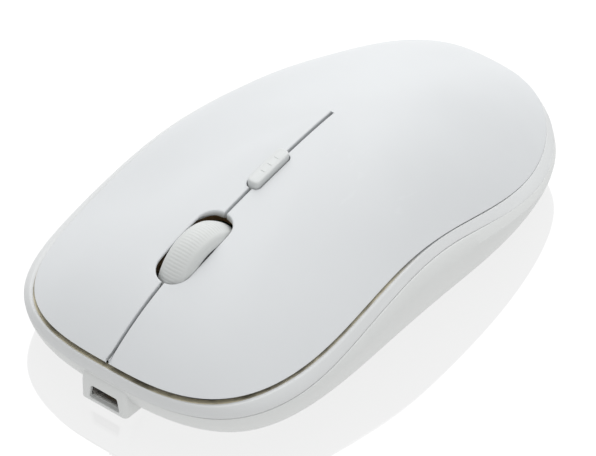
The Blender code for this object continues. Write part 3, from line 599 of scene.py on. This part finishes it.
def openingEdge(y):
    # half width of the opening between the keys: slit, widened by the wheel's slot and the button's notch
    widest = np.full_like(y, coverSettings["slitHalf"])
    for half, front, rear, radius in (coverSettings["slot"], coverSettings["notch"]):
        inside = np.minimum(y - front, rear - y)
        curve = half - radius + np.sqrt(np.maximum(radius**2 - np.maximum(radius - inside, 0)**2, 0))
        widest = np.where(inside > 0, np.maximum(widest, curve), widest)
    return widest


def openingDrop(x, y):
    # how far the dome rolls down near an opening: a quarter round by distance from it
    c = coverSettings
    distances = [(np.abs(x) - c["slitHalf"], c["slitSoft"]),
                 (roundedBoxDistance(x, y, *c["slot"]), c["slotSoft"]),
                 (roundedBoxDistance(x, y, *c["notch"]), c["notchSoft"])]
    drops = [soft - np.sqrt(soft**2 - np.clip(soft - distance, 0, soft)**2) for distance, soft in distances]
    return np.maximum.reduce(drops)


def keyStations():
    # shares of the way forward, close together at the ends of the slot and the notch
    c = coverSettings
    reach = form["middleY"] - rimAt(np.array([-np.pi / 2]))[1][0]
    near = np.array(c["nearTips"])
    places = [np.linspace(0, reach, c["keyRows"])]
    for tip, inwards in zip(c["slot"][1:3] + c["notch"][1:3], (1, -1, 1, -1)):
        places.append(form["middleY"] - (tip + inwards * near))
        places.append(form["middleY"] - (tip - inwards * near[1:9]))
    shares = np.unique(np.concatenate(places).round(3)) / reach
    start = c["slitHalf"] / rimAt(np.array([0.0]))[0][0] * 1.02
    shares = shares[(shares > start * 2.5) & (shares < 0.995)]
    return np.concatenate([[start, start * 1.5, start * 2.2], shares, [0.997, 1.0]])


def openingAngles(station):
    # the angle at which each row meets the opening's edge: the range that holds it is halved repeatedly
    low, high = np.full(len(station), -np.pi / 2), np.full(len(station), -1e-6)
    for _ in range(60):
        middle = (low + high) / 2
        x, y = crownAt(station * rhoAtLip(middle), middle).T[:2]
        outside = x > openingEdge(y)
        low, high = np.where(outside, low, middle), np.where(outside, middle, high)
    return high


def keyUnderside(top, station, angle):
    # straight below the dome beside the openings, tucked in elsewhere, and hollowed over the wheel
    c = coverSettings
    plain = top - (0, 0, c["plainDepth"])
    tucked = underAt(np.minimum(station, 1) * c["innerRim"], angle)
    aside, ahead = easeIn(top[..., 0], *c["tuckFrom"]), np.minimum(station, 1)**c["tuckPower"]
    weight = np.maximum(aside, ahead)[..., None]
    under = plain * (1 - weight) + tucked * weight
    under[:, 0, :2] = top[:, 0, :2]
    x, y, z = np.moveaxis(under, -1, 0)
    archY, archZ = c["archCenter"]
    reach = np.interp(x, *np.array(c["archProfile"]).T)
    arch = archZ + np.sqrt(np.maximum(reach**2 - (y - archY)**2, 0))
    highest = np.maximum(top[..., 2] - c["archLeast"], z)
    hollow = (x < c["archHalf"]) & (np.abs(y - archY) < reach) & (arch > z)
    under[..., 2] = np.where(hollow, np.minimum(arch, highest), z)
    return under


def makeKey(name, sign, node):
    # a front quarter of the dome: rows of growing rho, each from the opening's edge round to the palm part
    c = coverSettings
    station = keyStations()[:, None]
    v = np.linspace(0, 1, c["keyColumns"])[None, :]
    angle = openingAngles(station[:, 0])[:, None] * (0.5 + 0.5 * np.cos(np.pi * v))
    top = crownAt(station * rhoAtLip(angle), angle)
    under = keyUnderside(top, station, angle)
    top[..., 2] -= openingDrop(top[..., 0], top[..., 1])
    lip = lipRows(angle[-1])
    for row in lip:
        row[..., 2] -= openingDrop(row[..., 0], row[..., 1])
    flip = np.array([sign, 1, 1])
    key = foldedSheet(name, top * flip, [row * flip for row in lip], under * flip, coverWhite, node, [node],
                      "cover_white")
    # paint shade on the slot's walls: the tint grows darker the deeper a point sits below the dome
    x, y, z = piecePoints(key).T
    slotFront, slotRear = c["slot"][1:3]
    onWall = (y > slotFront - c["wallFrom"]) & (y < slotRear + c["wallFrom"])
    onWall &= np.abs(x) < openingEdge(y) + c["wallNear"]
    markPaintedShade(key, onWall * np.clip((topHeight(x, y) - z - c["wallFrom"]) / c["wallTint"], 0, 1))


makePalm()
makeKey("leftKey", 1, "left_key")
makeKey("rightKey", -1, "right_key")
print("cover done")


# frame between cover and bottom shell

frameSettings = {
    "columns": 336, "openSoft": 0.22, "closedSoft": 0.04, "softGaps": (0.2, 0.9), "seamSoft": 0.10,
    # the ledge under the cover: distance in from the rim, the least past the rounded edge, and fall
    "ledge": ((-0.22, 0.02, 0), (-0.12, 0.06, 0), (0.9, 0.5, 0.35), (1.5, 1.0, 0.45)),
    # tintGaps: gap widths over which the painted shade on the ledge fades in
    "innerWall": 1.7, "outerShares": (0.85, 0.68, 0.5, 0.33, 0.16), "tintGaps": (0.3, 0.7),
}


def makeBand():
    # rings of the frame's section: rounded top edge, ledge, inner wall, rounded lower edge, outer face
    f = frameSettings
    angle, inward, height = aroundRim(f["columns"])
    gap, tall = gapAt(angle), bandAt(angle)

    def outer(depth):
        return sideAt(depth / height, angle)

    def inside(point, distance):
        return point + np.reshape(distance, (-1, 1)) * inward

    upper, lower = outer(gap), outer(gap + tall)
    overhang = np.sum((np.stack(rimAt(angle), -1) - upper[:, :2]) * inward[:, :2], -1)
    soft = f["closedSoft"] + (f["openSoft"] - f["closedSoft"]) * easeIn(gap, *f["softGaps"])
    low = form["closedLine"] + f["seamSoft"] * lowerSeamShare(angle)

    rows = list(softCorner(outer(gap + soft), upper, inside(upper, soft), 6))
    rows += [inside(upper, np.maximum(overhang + reach, soft + least)) - (0, 0, fall)
             for reach, least, fall in f["ledge"]]
    rows.append(inside(outer(gap + 0.5 * tall), overhang + f["ledge"][-1][0]))
    rows.append(inside(lower, f["innerWall"]))
    rows += list(softCorner(inside(lower, low), lower, outer(gap + tall - low), 5))
    rows += [outer(gap + soft + (tall - soft - low) * share) for share in f["outerShares"]]
    rows = np.array(rows)
    band = newPiece("frameBand", rows, linkGrid(len(rows), f["columns"], True, True), frameWhite, "root",
                    ["mid_frame"], "frame_white", merge=False)
    # painted shade on the ledge and inner wall under the cover's rim, full where the gap is wide
    bandShade = np.zeros(rows.shape[:2])
    bandShade[7:12] = easeIn(gap, *f["tintGaps"])      # the ledge's rows and the inner wall's
    markPaintedShade(band, bandShade.ravel())


makeBand()
print("frame done")


# bottom shell

casePlaces = ((25.2, -12), (-25.2, -12), (19, 31), (-19, 31))
boardPlaces = ((17.5, 4.5), (-17.5, 4.5))

shellSettings = {
    "columns": 336, "rows": 22, "topSoft": 0.14, "floor": 1.6, "middleY": -5.0, "sharp": 28,
    "insideShares": (0.86, 0.7, 0.5, 0.3, 0.12, 0.0), "floorShares": (0.0, 0.45, 0.9),
    "boss": (-0.15, -54.7, 5.5, 2.8, 0.97), "bossFoot": (0.9, 0.2), "bossBrow": (7.4, 3.0, 0.95),
    "well": ((-9.1, 12.6, 2.0), (9.1, 35.4, 9.4)), "wellHole": ((-7.9, 13.8, -1.0), (7.9, 34.2, 8.2)),
    "portCavity": ((-4.3, -56.7, 1.7), (4.3, -48.0, 9.0)),
    "windows": ((0, -2.0, 3.2, 4.0, 1.0), (-12, -6, 2.6, 1.25, 0.5)),           # sensor, power slider
    "boardPost": (2.4, 2.0, 4.5), "boardHole": (1.15, 2.1, 5.1), "casePost": (3.3, 2.0, 6.0),
    "caseHole": (2.4, [(0.5, 0), (4.8, 0), (4.8, 1.15), (7.0, 1.15)]),
}
portSettings = {
    "z": 3.2, "corner": 0.42, "pinch": 0.13, "front": -56.4, "back": -51.2,
    "socket": (3.45, 1.05), "sheet": 0.3,
    "mouth": (3.6, 1.55),     # depths of the mouth with how much wider; None closes the section to a point
    "mouthLevels": [(-59.0, None), (-59.0, 0.2), (-57.56, 0.2), (-57.36, 0.0), (-56.5, 0.0), (-56.5, None)],
    "tongue": (1.9, 0.3, 0.12), "tongueFront": -55.6, "tongueZ": 3.52,
    "contacts": 5, "contactSpan": 1.3, "contact": (0.17, 0.05, 0.04),
    "contactFront": -55.4, "contactZ": 3.19,
}


def boxPoints(low, high):
    # a box's eight corners, and six faces that point outwards
    corners = [(x, y, z) for z in (low[2], high[2])
               for x, y in ((low[0], low[1]), (high[0], low[1]), (high[0], high[1]), (low[0], high[1]))]
    faces = [[0, 3, 2, 1], [4, 5, 6, 7], [0, 1, 5, 4], [1, 2, 6, 5], [2, 3, 7, 6], [3, 0, 4, 7]]
    return np.array(corners, float), faces


def gather(parts):
    # several (points, faces) as one
    points, faces = [], []
    for more, its in parts:
        offset = sum(len(p) for p in points)
        points.append(np.asarray(more, float).reshape(-1, 3))
        faces += [[i + offset for i in face] for face in its]
    return np.concatenate(points), faces


def ringsAsPart(rings):
    rings = np.asarray(rings, float)
    return rings.reshape(-1, 3), linkGrid(len(rings), rings.shape[1], wrapColumns=True)


def softPad(place, heights, steps, cornerSteps):
    # a rounded rectangle (x, y, half sizes, radius) between two heights, with its two edges softened
    return ringsAsPart(padRings(*place, softLevels(*heights, steps), cornerSteps))


def postPart(x, y, radius, low, high, soft=0.05):
    return softPad((x, y, radius, radius, radius), (low, high, soft, soft), 3, 7)


def carve(piece, tool, operation):
    # an exact boolean, applied at once
    step = piece.modifiers.new(operation, "BOOLEAN")
    step.operation, step.solver, step.object = operation, "EXACT", tool
    whole = bpy.data.meshes.new_from_object(piece.evaluated_get(bpy.context.evaluated_depsgraph_get()))
    piece.modifiers.clear()
    old = piece.data
    piece.data = whole
    whole.name = old.name
    bpy.data.meshes.remove(old)
    bpy.data.objects.remove(tool)


def sharpenAgain(piece, degrees):
    # smooth shading with crisp edges, which a boolean leaves out of date
    piece.data.shade_smooth()
    piece.data.set_sharp_from_angle(angle=math.radians(degrees))


def portRings(half, levels):
    # the charging port's section at several depths: flat below, its upper corners cut back
    p = portSettings
    rings = []
    for y, wider in levels:
        outline = roundedOutline(half[0] + (wider or 0), half[1] + (wider or 0), p["corner"], 5)
        x, z = outline.T * (wider is not None)
        x = x * (1 - p["pinch"] * easeIn(z / half[1], 0.0, 1.0))
        rings.append(np.stack([x, np.full(len(x), y), p["z"] + z], 1))
    return np.array(rings)


def makeShell():
    # rings from the floor's middle up the inner wall, over the brim, down the side and in to the base's
    # middle; then the boss, posts and receiver well are joined on, and the openings are cut
    s = shellSettings
    angle, inward, height = aroundRim(s["columns"])
    seam = lowerSeamShare(angle)
    line = form["closedLine"] + (form["hairline"] - form["closedLine"]) * seam
    start = (gapAt(angle) + bandAt(angle) + line) / height
    soft = form["closedLine"] + s["topSoft"] * seam
    brim = sideAt(start, angle)
    spread = 1 - (1 - np.linspace(0, 1, s["rows"]))**1.7
    outside = [sideAt(start + (1 - start) * share, angle) for share in spread[2:]]
    below = sideAt(start + soft / height, angle)
    rounded = list(softCorner(brim + soft[:, None] * inward, brim, below, 4))
    floorZ = form["baseZ"] + s["floor"]
    inside = [sideAt(start + (1 - start) * share, angle) + form["wall"] * inward
              for share in s["insideShares"]]
    for row in inside:
        row[:, 2] = np.maximum(row[:, 2], floorZ)
    middle, under = (np.array([0.0, s["middleY"], z]) for z in (floorZ, form["baseZ"]))
    floorRows = [middle + (inside[0] - middle) * (k, k, 0) for k in s["floorShares"]]
    baseRows = [under + (outside[-1] - under) * (k, k, 0) for k in reversed(s["floorShares"])]
    rings = floorRows + inside + rounded + outside + baseRows
    shell = newPiece("bottomShell", *ringsAsPart(rings), shellWhite, None)

    foot, footSoft = s["bossFoot"]
    brow, browTall, browDeep = s["bossBrow"]
    turnFoot, turnBrow = np.linspace(0, np.pi / 2, 5), np.linspace(0, np.pi / 2, 11)
    levels = [(foot + footSoft * (1 - math.cos(a)), footSoft * (1 - math.sin(a))) for a in turnFoot]
    levels += [(brow - browTall * (1 - math.sin(a)), browDeep * (1 - math.cos(a))) for a in turnBrow]
    additions = [ringsAsPart(padRings(*s["boss"], levels, 9)), boxPoints(*s["well"])]
    additions += [postPart(x, y, *s["boardPost"]) for x, y in boardPlaces]
    additions += [postPart(x, y, *s["casePost"]) for x, y in casePlaces]
    carve(shell, newPiece("shellAdditions", *gather(additions), shellWhite, None), "UNION")

    holes = [boxPoints(*s["portCavity"]), boxPoints(*s["wellHole"])]
    holes += [softPad(window, (0.0, 4.0, 0.05, 0.05), 3, 6) for window in s["windows"]]
    holes += [postPart(x, y, *s["boardHole"]) for x, y in boardPlaces]
    radius, levels = s["caseHole"]
    holes += [ringsAsPart(padRings(x, y, radius, radius, radius, levels, 7)) for x, y in casePlaces]
    mouth = ringsAsPart(portRings(portSettings["mouth"], portSettings["mouthLevels"]))
    for tool, part in (("mouthTool", mouth), ("shellHoles", gather(holes))):
        carve(shell, newPiece(tool, *part, shellWhite, None), "DIFFERENCE")
    sharpenAgain(shell, s["sharp"])
    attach(shell, "root")
    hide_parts("bottom_shell")


makeShell()
print("shell done")


# wheel

wheelSettings = {
    "x": 0.36, "y": -30.2, "z": 15.5, "halfWidth": 3.33, "inner": 7.6,
    "tread": [(0, 10.3), (1.3, 10.1), (2.3, 9.7), (2.95, 9.15), (3.33, 8.3)],
    "across": [1.0, 0.985, 0.95, 0.9, 0.84, 0.77, 0.72, 0.69, 0.66, 0.5, 0.33, 0.16, 0.0],
    "ribs": 92, "ribDepth": 0.04, "ribHalf": 2.2, "ribFade": 0.12, "groovePower": 1.5,
    # the shroud is a collar whose dark brown colour is painted shade for the inside of the mouse seen round
    # the wheel
    "shroudHalf": 4.5, "shroudFront": -41.6, "shroudRear": -20.9, "shroudCorner": 3.6,
    "shroudTall": 1.6, "shroudUnder": 2.5, "shroudSoft": 0.1, "shroudWall": 0.9,
}


def makeTyre():
    # a turned section: a spline across the tread, less raised-cosine grooves that fade out at its sides
    w = wheelSettings
    turn = np.linspace(0, 2 * np.pi, w["ribs"] * 6, endpoint=False)
    across = np.array(w["across"])
    across = np.concatenate([across, -across[-2::-1]]) * w["halfWidth"]
    tread = throughKnots([(-x, r) for x, r in w["tread"][:0:-1]] + w["tread"], across)
    ribbed = np.clip((w["ribHalf"] - np.abs(across)) / w["ribFade"], 0, 1)[:, None]
    groove = (0.5 - 0.5 * np.cos(turn * w["ribs"]))**w["groovePower"]
    radius = tread[:, None] - w["ribDepth"] * ribbed * groove
    radius = np.concatenate([radius, np.full((2, len(turn)), w["inner"])])
    x = np.concatenate([across, [-w["halfWidth"], w["halfWidth"]]])[:, None] + w["x"] + 0 * radius
    rows = np.stack([x, w["y"] + radius * np.cos(turn), w["z"] + radius * np.sin(turn)], -1)
    newPiece("wheelTyre", rows, linkGrid(len(rows), len(turn), True, True), wheelRubber, "wheel",
             ["wheel_tyre"], "wheel_rubber")


def makeShadeCollar():
    # a collar in the slot that hides the inside of the mouse, a fixed depth below the dome; its dark brown
    # is painted shade standing for that shaded inside
    w = wheelSettings
    middle, reach = (w["shroudFront"] + w["shroudRear"]) / 2, (w["shroudRear"] - w["shroudFront"]) / 2
    tall, soft, wall = w["shroudTall"], w["shroudSoft"], w["shroudWall"]
    rings = []
    for grown, down in ((0.0, tall), (0.0, soft), (soft, 0.0),
                        (wall - soft, 0.0), (wall, soft), (wall, tall)):
        outline = roundedOutline(w["shroudHalf"] + grown, reach + grown, w["shroudCorner"] + grown, 9)
        outline = outline + (0, middle)
        rings.append(flatRing(outline, topHeight(*outline.T) - w["shroudUnder"] - down))
    newPiece("wheelShadeCollar", rings, linkGrid(len(rings), len(rings[0]), True, True), paintedShadeBrown, "root")


makeTyre()
makeShadeCollar()
print("wheel done")


# button in the slit

buttonSettings = {
    "front": -14.9, "rear": -5.1, "half": 1.35, "corner": 0.9, "rise": 1.2, "soft": 0.36,
    "stem": (1.1, 1.4, 1.1), "stemHeights": (16.0, 21.5),
    "flange": ((21.6, 1.1), (22.5, 1.1), (22.6, 0.0), (24.0, 0.0)),      # height, how much wider
    "topInsets": [0.45, 0.6, 0.8, 1.0, 1.2, 1.3],
    "ticks": (-11.6, -9.65, -7.65), "tickHeight": 0.07, "tickHalf": 0.5, "tickWide": 0.12, "tickSunk": 0.01,
}


def makeButton():
    # rounded rectangles stacked as stem, flange and cap; the cap's top follows the dome's ridge, with a
    # quarter round along its edge
    b = buttonSettings
    middle, halfY = (b["front"] + b["rear"]) / 2, (b["rear"] - b["front"]) / 2

    def capOutline(wider):
        return roundedOutline(b["half"] + wider, halfY + wider, b["corner"] + wider, 11)

    rings = [flatRing(roundedOutline(*b["stem"], 11), z) for z in b["stemHeights"]]
    rings += [flatRing(capOutline(wider), z) for z, wider in b["flange"]]
    turn = np.linspace(0, np.pi / 2, 8)
    insets = list(b["soft"] * (1 - np.cos(turn))) + b["topInsets"]
    downs = list(b["soft"] * (1 - np.sin(turn))) + [0.0] * len(b["topInsets"])
    for inset, down in zip(insets, downs):
        flat = capOutline(-inset)
        rings.append(flatRing(flat, topHeight(0 * flat[:, 0], flat[:, 1] + middle) + b["rise"] - down))
    rings = np.array([rings[0] * (0, 0, 1)] + rings) + (0, middle, 0)
    count, columns = rings.shape[:2]
    faces = linkGrid(count, columns, wrapColumns=True)
    faces.append([(count - 1) * columns + i for i in range(columns)])
    newPiece("modeButton", rings, faces, buttonWhite, "dpi_button", ["dpi_button"], "button_white")


def halfRoundRib(centerX, centerY, z, halfX, halfY, rise, alongSteps, turnSteps):
    # a low rib along X: an ellipse whose size dies out at both ends as the root of 1 - along to the eighth
    along, turn = np.linspace(-1, 1, alongSteps), np.linspace(0, 2 * np.pi, turnSteps, endpoint=False)
    size = np.sqrt(np.clip(1 - along**8, 0, 1))[:, None]
    height = z + rise * size * np.sin(turn)
    return ringsAsPart(np.stack([centerX + halfX * along[:, None] + 0 * height,
                                 centerY + halfY * size * np.cos(turn), height], -1))


def makeTicks():
    # three low ribs across the button for the finger
    b = buttonSettings
    parts = [halfRoundRib(0, y, topHeight(0.0, y) + b["rise"] - b["tickSunk"], b["tickHalf"], b["tickWide"],
                          b["tickHeight"], 25, 14) for y in b["ticks"]]
    newPiece("buttonTicks", *gather(parts), buttonWhite, "dpi_button", slot="button_white")


makeButton()
makeTicks()
print("button done")


# charging port: folded sheet socket, tongue, gold contacts

def makePort():
    p = portSettings
    front, back, sheet, soft = p["front"], p["back"], p["sheet"], 0.12
    levels = [(back - 0.5, None), (back - 0.5, 0.0), (front + 0.5, 0.0), (front, soft),
              (front, soft + sheet), (front + 0.6, sheet), (back, sheet), (back, None)]
    newPiece("portSocket", *ringsAsPart(portRings(p["socket"], levels)), plateSteel, "root", ["usb_socket"],
             "steel")

    def lyingPad(x, size, levels, z, steps):
        # a pad whose levels run along Y
        return ringsAsPart(padRings(x, 0, *size, levels, steps)[..., [0, 2, 1]] + (0, 0, z))

    tip = p["tongueFront"]
    tongue = lyingPad(0, p["tongue"], [(tip, soft), (tip + soft, 0.0), (back - 0.8, 0.0)], p["tongueZ"], 5)
    newPiece("portTongue", *tongue, darkPlastic, "root", ["usb_tongue"], "dark_plastic")
    tip = p["contactFront"]
    contactLevels = [(tip, 0.03), (tip + 0.06, 0.0), (back - 1.0, 0.0)]
    pads = [lyingPad(x, p["contact"], contactLevels, p["contactZ"], 3)
            for x in np.linspace(-p["contactSpan"], p["contactSpan"], p["contacts"])]
    newPiece("portContacts", *gather(pads), goldPlate, "root", slot="steel")


makePort()
print("port done")


# screws

screwSettings = {
    "arm": 1.15, "armHalf": 0.24, "armDepth": 0.75, "armOver": 0.5, "thread": 0.16, "pitch": 0.62,
    "sides": 40,
    "dome": 0.28, "domeSteps": 7, "rim": 0.45, "chamfer": 0.12, "shank": 0.8, "tip": 0.55, "sharp": 35,
}


def makeScrews(name, places, head, neck, tip, headRadius, replaced):
    # a domed head, a neck and a shank as one turned skin; the thread is a raised cosine that climbs with
    # the angle, and a cross is cut into the head
    c = screwSettings
    way = 1 if tip > head else -1
    turn = np.linspace(0, 2 * np.pi, c["sides"], endpoint=False)
    dome = np.linspace(0, 1, c["domeSteps"])
    profile = [(head + way * c["dome"] * t**3, headRadius * math.sin(t * np.pi / 2)) for t in dome]
    profile += [(head + way * c["rim"], headRadius), (neck - way * c["chamfer"], headRadius),
                (neck, headRadius - c["chamfer"]), (neck, c["shank"])]
    length = abs(tip - neck)
    steps = int(length / c["pitch"] * 8)
    profile += [(neck + way * length * i / steps, c["shank"]) for i in range(1, steps)]
    along, radius = np.array(profile + [(tip, c["tip"]), (tip, 0.0)]).T
    wave = c["thread"] * (0.5 + 0.5 * np.cos((along[:, None] - neck) / c["pitch"] * 2 * np.pi - turn))**2
    thread = np.where(np.abs(radius - c["shank"])[:, None] < 0.01, wave, 0.0)
    thread[len(dome) + 3] = 0.0
    reach = radius[:, None] + thread
    rings = np.stack([reach * np.cos(turn), reach * np.sin(turn), along[:, None] + 0 * reach], -1)
    whole = gather([ringsAsPart(rings + (x, y, 0)) for x, y in places])
    screws = newPiece(name, *whole, plateSteel, "root", replaced, "steel")
    low, high = sorted((head - way * c["armOver"], head + way * c["armDepth"]))
    for halfX, halfY in ((c["arm"], c["armHalf"]), (c["armHalf"], c["arm"])):
        arms = [boxPoints((x - halfX, y - halfY, low), (x + halfX, y + halfY, high)) for x, y in places]
        carve(screws, newPiece("crossTool", *gather(arms), plateSteel, None), "DIFFERENCE")
    sharpenAgain(screws, c["sharp"])


makeScrews("caseScrews", casePlaces, 3.2, 4.5, 10.4, 2.0, [f"case_screw_{i}" for i in (1, 2, 3, 4)])
makeScrews("boardScrews", boardPlaces, 7.2, 6.1, 2.7, 1.7, ["board_screw_1", "board_screw_2"])
print("screws done")


# underside: gliding feet, film, receiver, power slider

undersideSettings = {
    # places are x, y, half sizes and corner radius; heights are low, high and the two edge rounds
    "feet": (("frontFoot", "front_foot", (0, -42.5, 16, 2.9, 2.7)),
             ("leftFoot", "rear_foot_left", (13.5, 15.5, 2.3, 9.5, 2.2)),
             ("rightFoot", "rear_foot_right", (-13.5, 15.5, 2.3, 9.5, 2.2))),
    "footHeights": (0.0, 0.9, 0.22, 0.05),
    "film": (0, -21, 13, 9, 1.5), "filmHeights": (0.6, 0.9, 0.05, 0.02),
    "head": (0, 17.5, 7.4, 3.2, 0.9), "headHeights": (1.5, 7.7, 0.5, 0.5),
    "ridges": 5, "ridgeStep": 0.95, "ridgeRise": 0.2, "ridgeHalf": (5.2, 0.2), "ridgeZ": 1.52,
    "knob": (-13, -6, 1.1, 0.9, 0.3), "knobHeights": (0.5, 2.9, 0.15, 0.1),
}


def makeUnderside():
    u = undersideSettings
    for name, node, place in u["feet"]:
        foot = softPad(place, u["footHeights"], 7, 13)
        newPiece(name, *foot, footPlastic, "root", [node], "foot_plastic")
    film = softPad(u["film"], u["filmHeights"], 4, 9)
    newPiece("baseFilm", *film, labelFilm, "root", ["base_label"], "label_film")

    head = softPad(u["head"], u["headHeights"], 7, 9)
    newPiece("receiverHead", *head, shellWhite, "receiver", ["receiver_head"], "shell_white")
    x, y = u["head"][:2]
    ribs = [halfRoundRib(x, y + (i - (u["ridges"] - 1) / 2) * u["ridgeStep"], u["ridgeZ"], *u["ridgeHalf"],
                         -u["ridgeRise"], 15, 12) for i in range(u["ridges"])]
    newPiece("receiverRibs", *gather(ribs), shellWhite, "receiver", slot="shell_white")

    knob = softPad(u["knob"], u["knobHeights"], 5, 7)
    newPiece("powerKnob", *knob, greyPlastic, "power_slider", ["power_slider"], "shell_white")


makeUnderside()
print("underside done")


# a finish for every CAD shape that stays as it is

finishes = (
    (hubPlastic, "wheel_hub left_switch_plunger right_switch_plunger middle_switch_plunger"),
    (greyPlastic, "axle_cradle encoder_rotor dpi_switch"),
    (darkPlastic, "encoder left_switch right_switch middle_switch"),
    (darkPlastic, "controller_chip charge_chip optical_sensor"),
    (connectorWhite, "battery_header battery_plug"),
    (shellWhite, "dpi_switch_plunger"),
    (plateSteel, "receiver_plug power_switch clock_crystal"),
    (cellFoil, "battery_cell"),
    (boardLacquer, "main_board"),
    (clearLens, "sensor_lens status_led"),
    (redLead, "battery_lead_red"),
    (blackLead, "battery_lead_black"),
)

for material, names in finishes:
    for name in names.split():
        slots = nodes[name].material_slots
        if not slots:
            nodes[name].data.materials.append(material)
        for slot in slots:
            slot.material = material
print("CAD nodes finished")


# floor, light, camera

studio = {
    "azimuth": 39.82, "elevation": 40.75, "roll": -0.36, "distance": 1.136, "lens": 363.9,
    "target": (-0.00021, -0.00128, 0.00698), "clip": (0.05, 20.0),
    "world": 0.62, "worldColor": (0.98, 0.99, 1.0, 1), "aim": (0, 0, 0.01),
    "lights": (                   # name, place, size, power, colour
        ("rearBox", (-0.75, 0.9, 1.15), 1.7, 16.0, (1.0, 1.0, 1.0)),
        ("overheadBox", (0.1, 0.2, 1.3), 1.2, 4.6, (1.0, 1.0, 1.0)),
        ("leftBox", (1.0, -0.3, 0.6), 0.8, 1.0, (1.0, 0.99, 0.98))),
    "floor": 0.06, "floorGloss": 0.03, "floorIndex": 1.85, "floorGlow": 0.76, "floorHalf": 6.0,
    "floorDrop": 0.00002,
}


def makeStudio():
    floorMaterial = startMaterial(
        "studio floor", Base_Color=(studio["floor"],) * 3 + (1,), IOR=studio["floorIndex"],
        Roughness=studio["floorGloss"], Emission_Color=(1, 1, 1, 1),
        Emission_Strength=studio["floorGlow"])[0]
    mesh, half = bpy.data.meshes.new("floor"), studio["floorHalf"]
    corners = [(-half, -half, 0), (half, -half, 0), (half, half, 0), (-half, half, 0)]
    mesh.from_pydata(corners, [], [(0, 1, 2, 3)])
    mesh.materials.append(floorMaterial)
    floor = linkObject("floor", mesh, (0, 0, -studio["floorDrop"]))

    world = bpy.data.worlds.new("studio")
    world.use_nodes = True
    background = world.node_tree.nodes["Background"]
    background.inputs["Color"].default_value = studio["worldColor"]
    background.inputs["Strength"].default_value = studio["world"]
    bpy.context.scene.world = world

    for name, place, size, power, color in studio["lights"]:
        light = bpy.data.lights.new(name, "AREA")
        light.shape, light.size, light.energy, light.color = "SQUARE", size, power, color
        lamp = linkObject(name, light, place)
        lamp.rotation_euler = (Vector(studio["aim"]) - Vector(place)).to_track_quat("-Z", "Y").to_euler()

    camera = bpy.data.cameras.new("camera")
    camera.lens, camera.sensor_width = studio["lens"], 36.0
    camera.clip_start, camera.clip_end = studio["clip"]
    a, e = math.radians(studio["azimuth"]), math.radians(studio["elevation"])
    back = Vector((math.sin(a) * math.cos(e), -math.cos(a) * math.cos(e), math.sin(e)))
    view = linkObject("camera", camera, Vector(studio["target"]) + back * studio["distance"])
    roll = Quaternion((0, 0, 1), math.radians(studio["roll"]))
    view.rotation_mode = "QUATERNION"
    view.rotation_quaternion = (-back).to_track_quat("-Z", "Y") @ roll
    bpy.context.scene.camera = view
    bpy.context.scene.view_settings.view_transform = "Standard"


makeStudio()
print("studio ready")
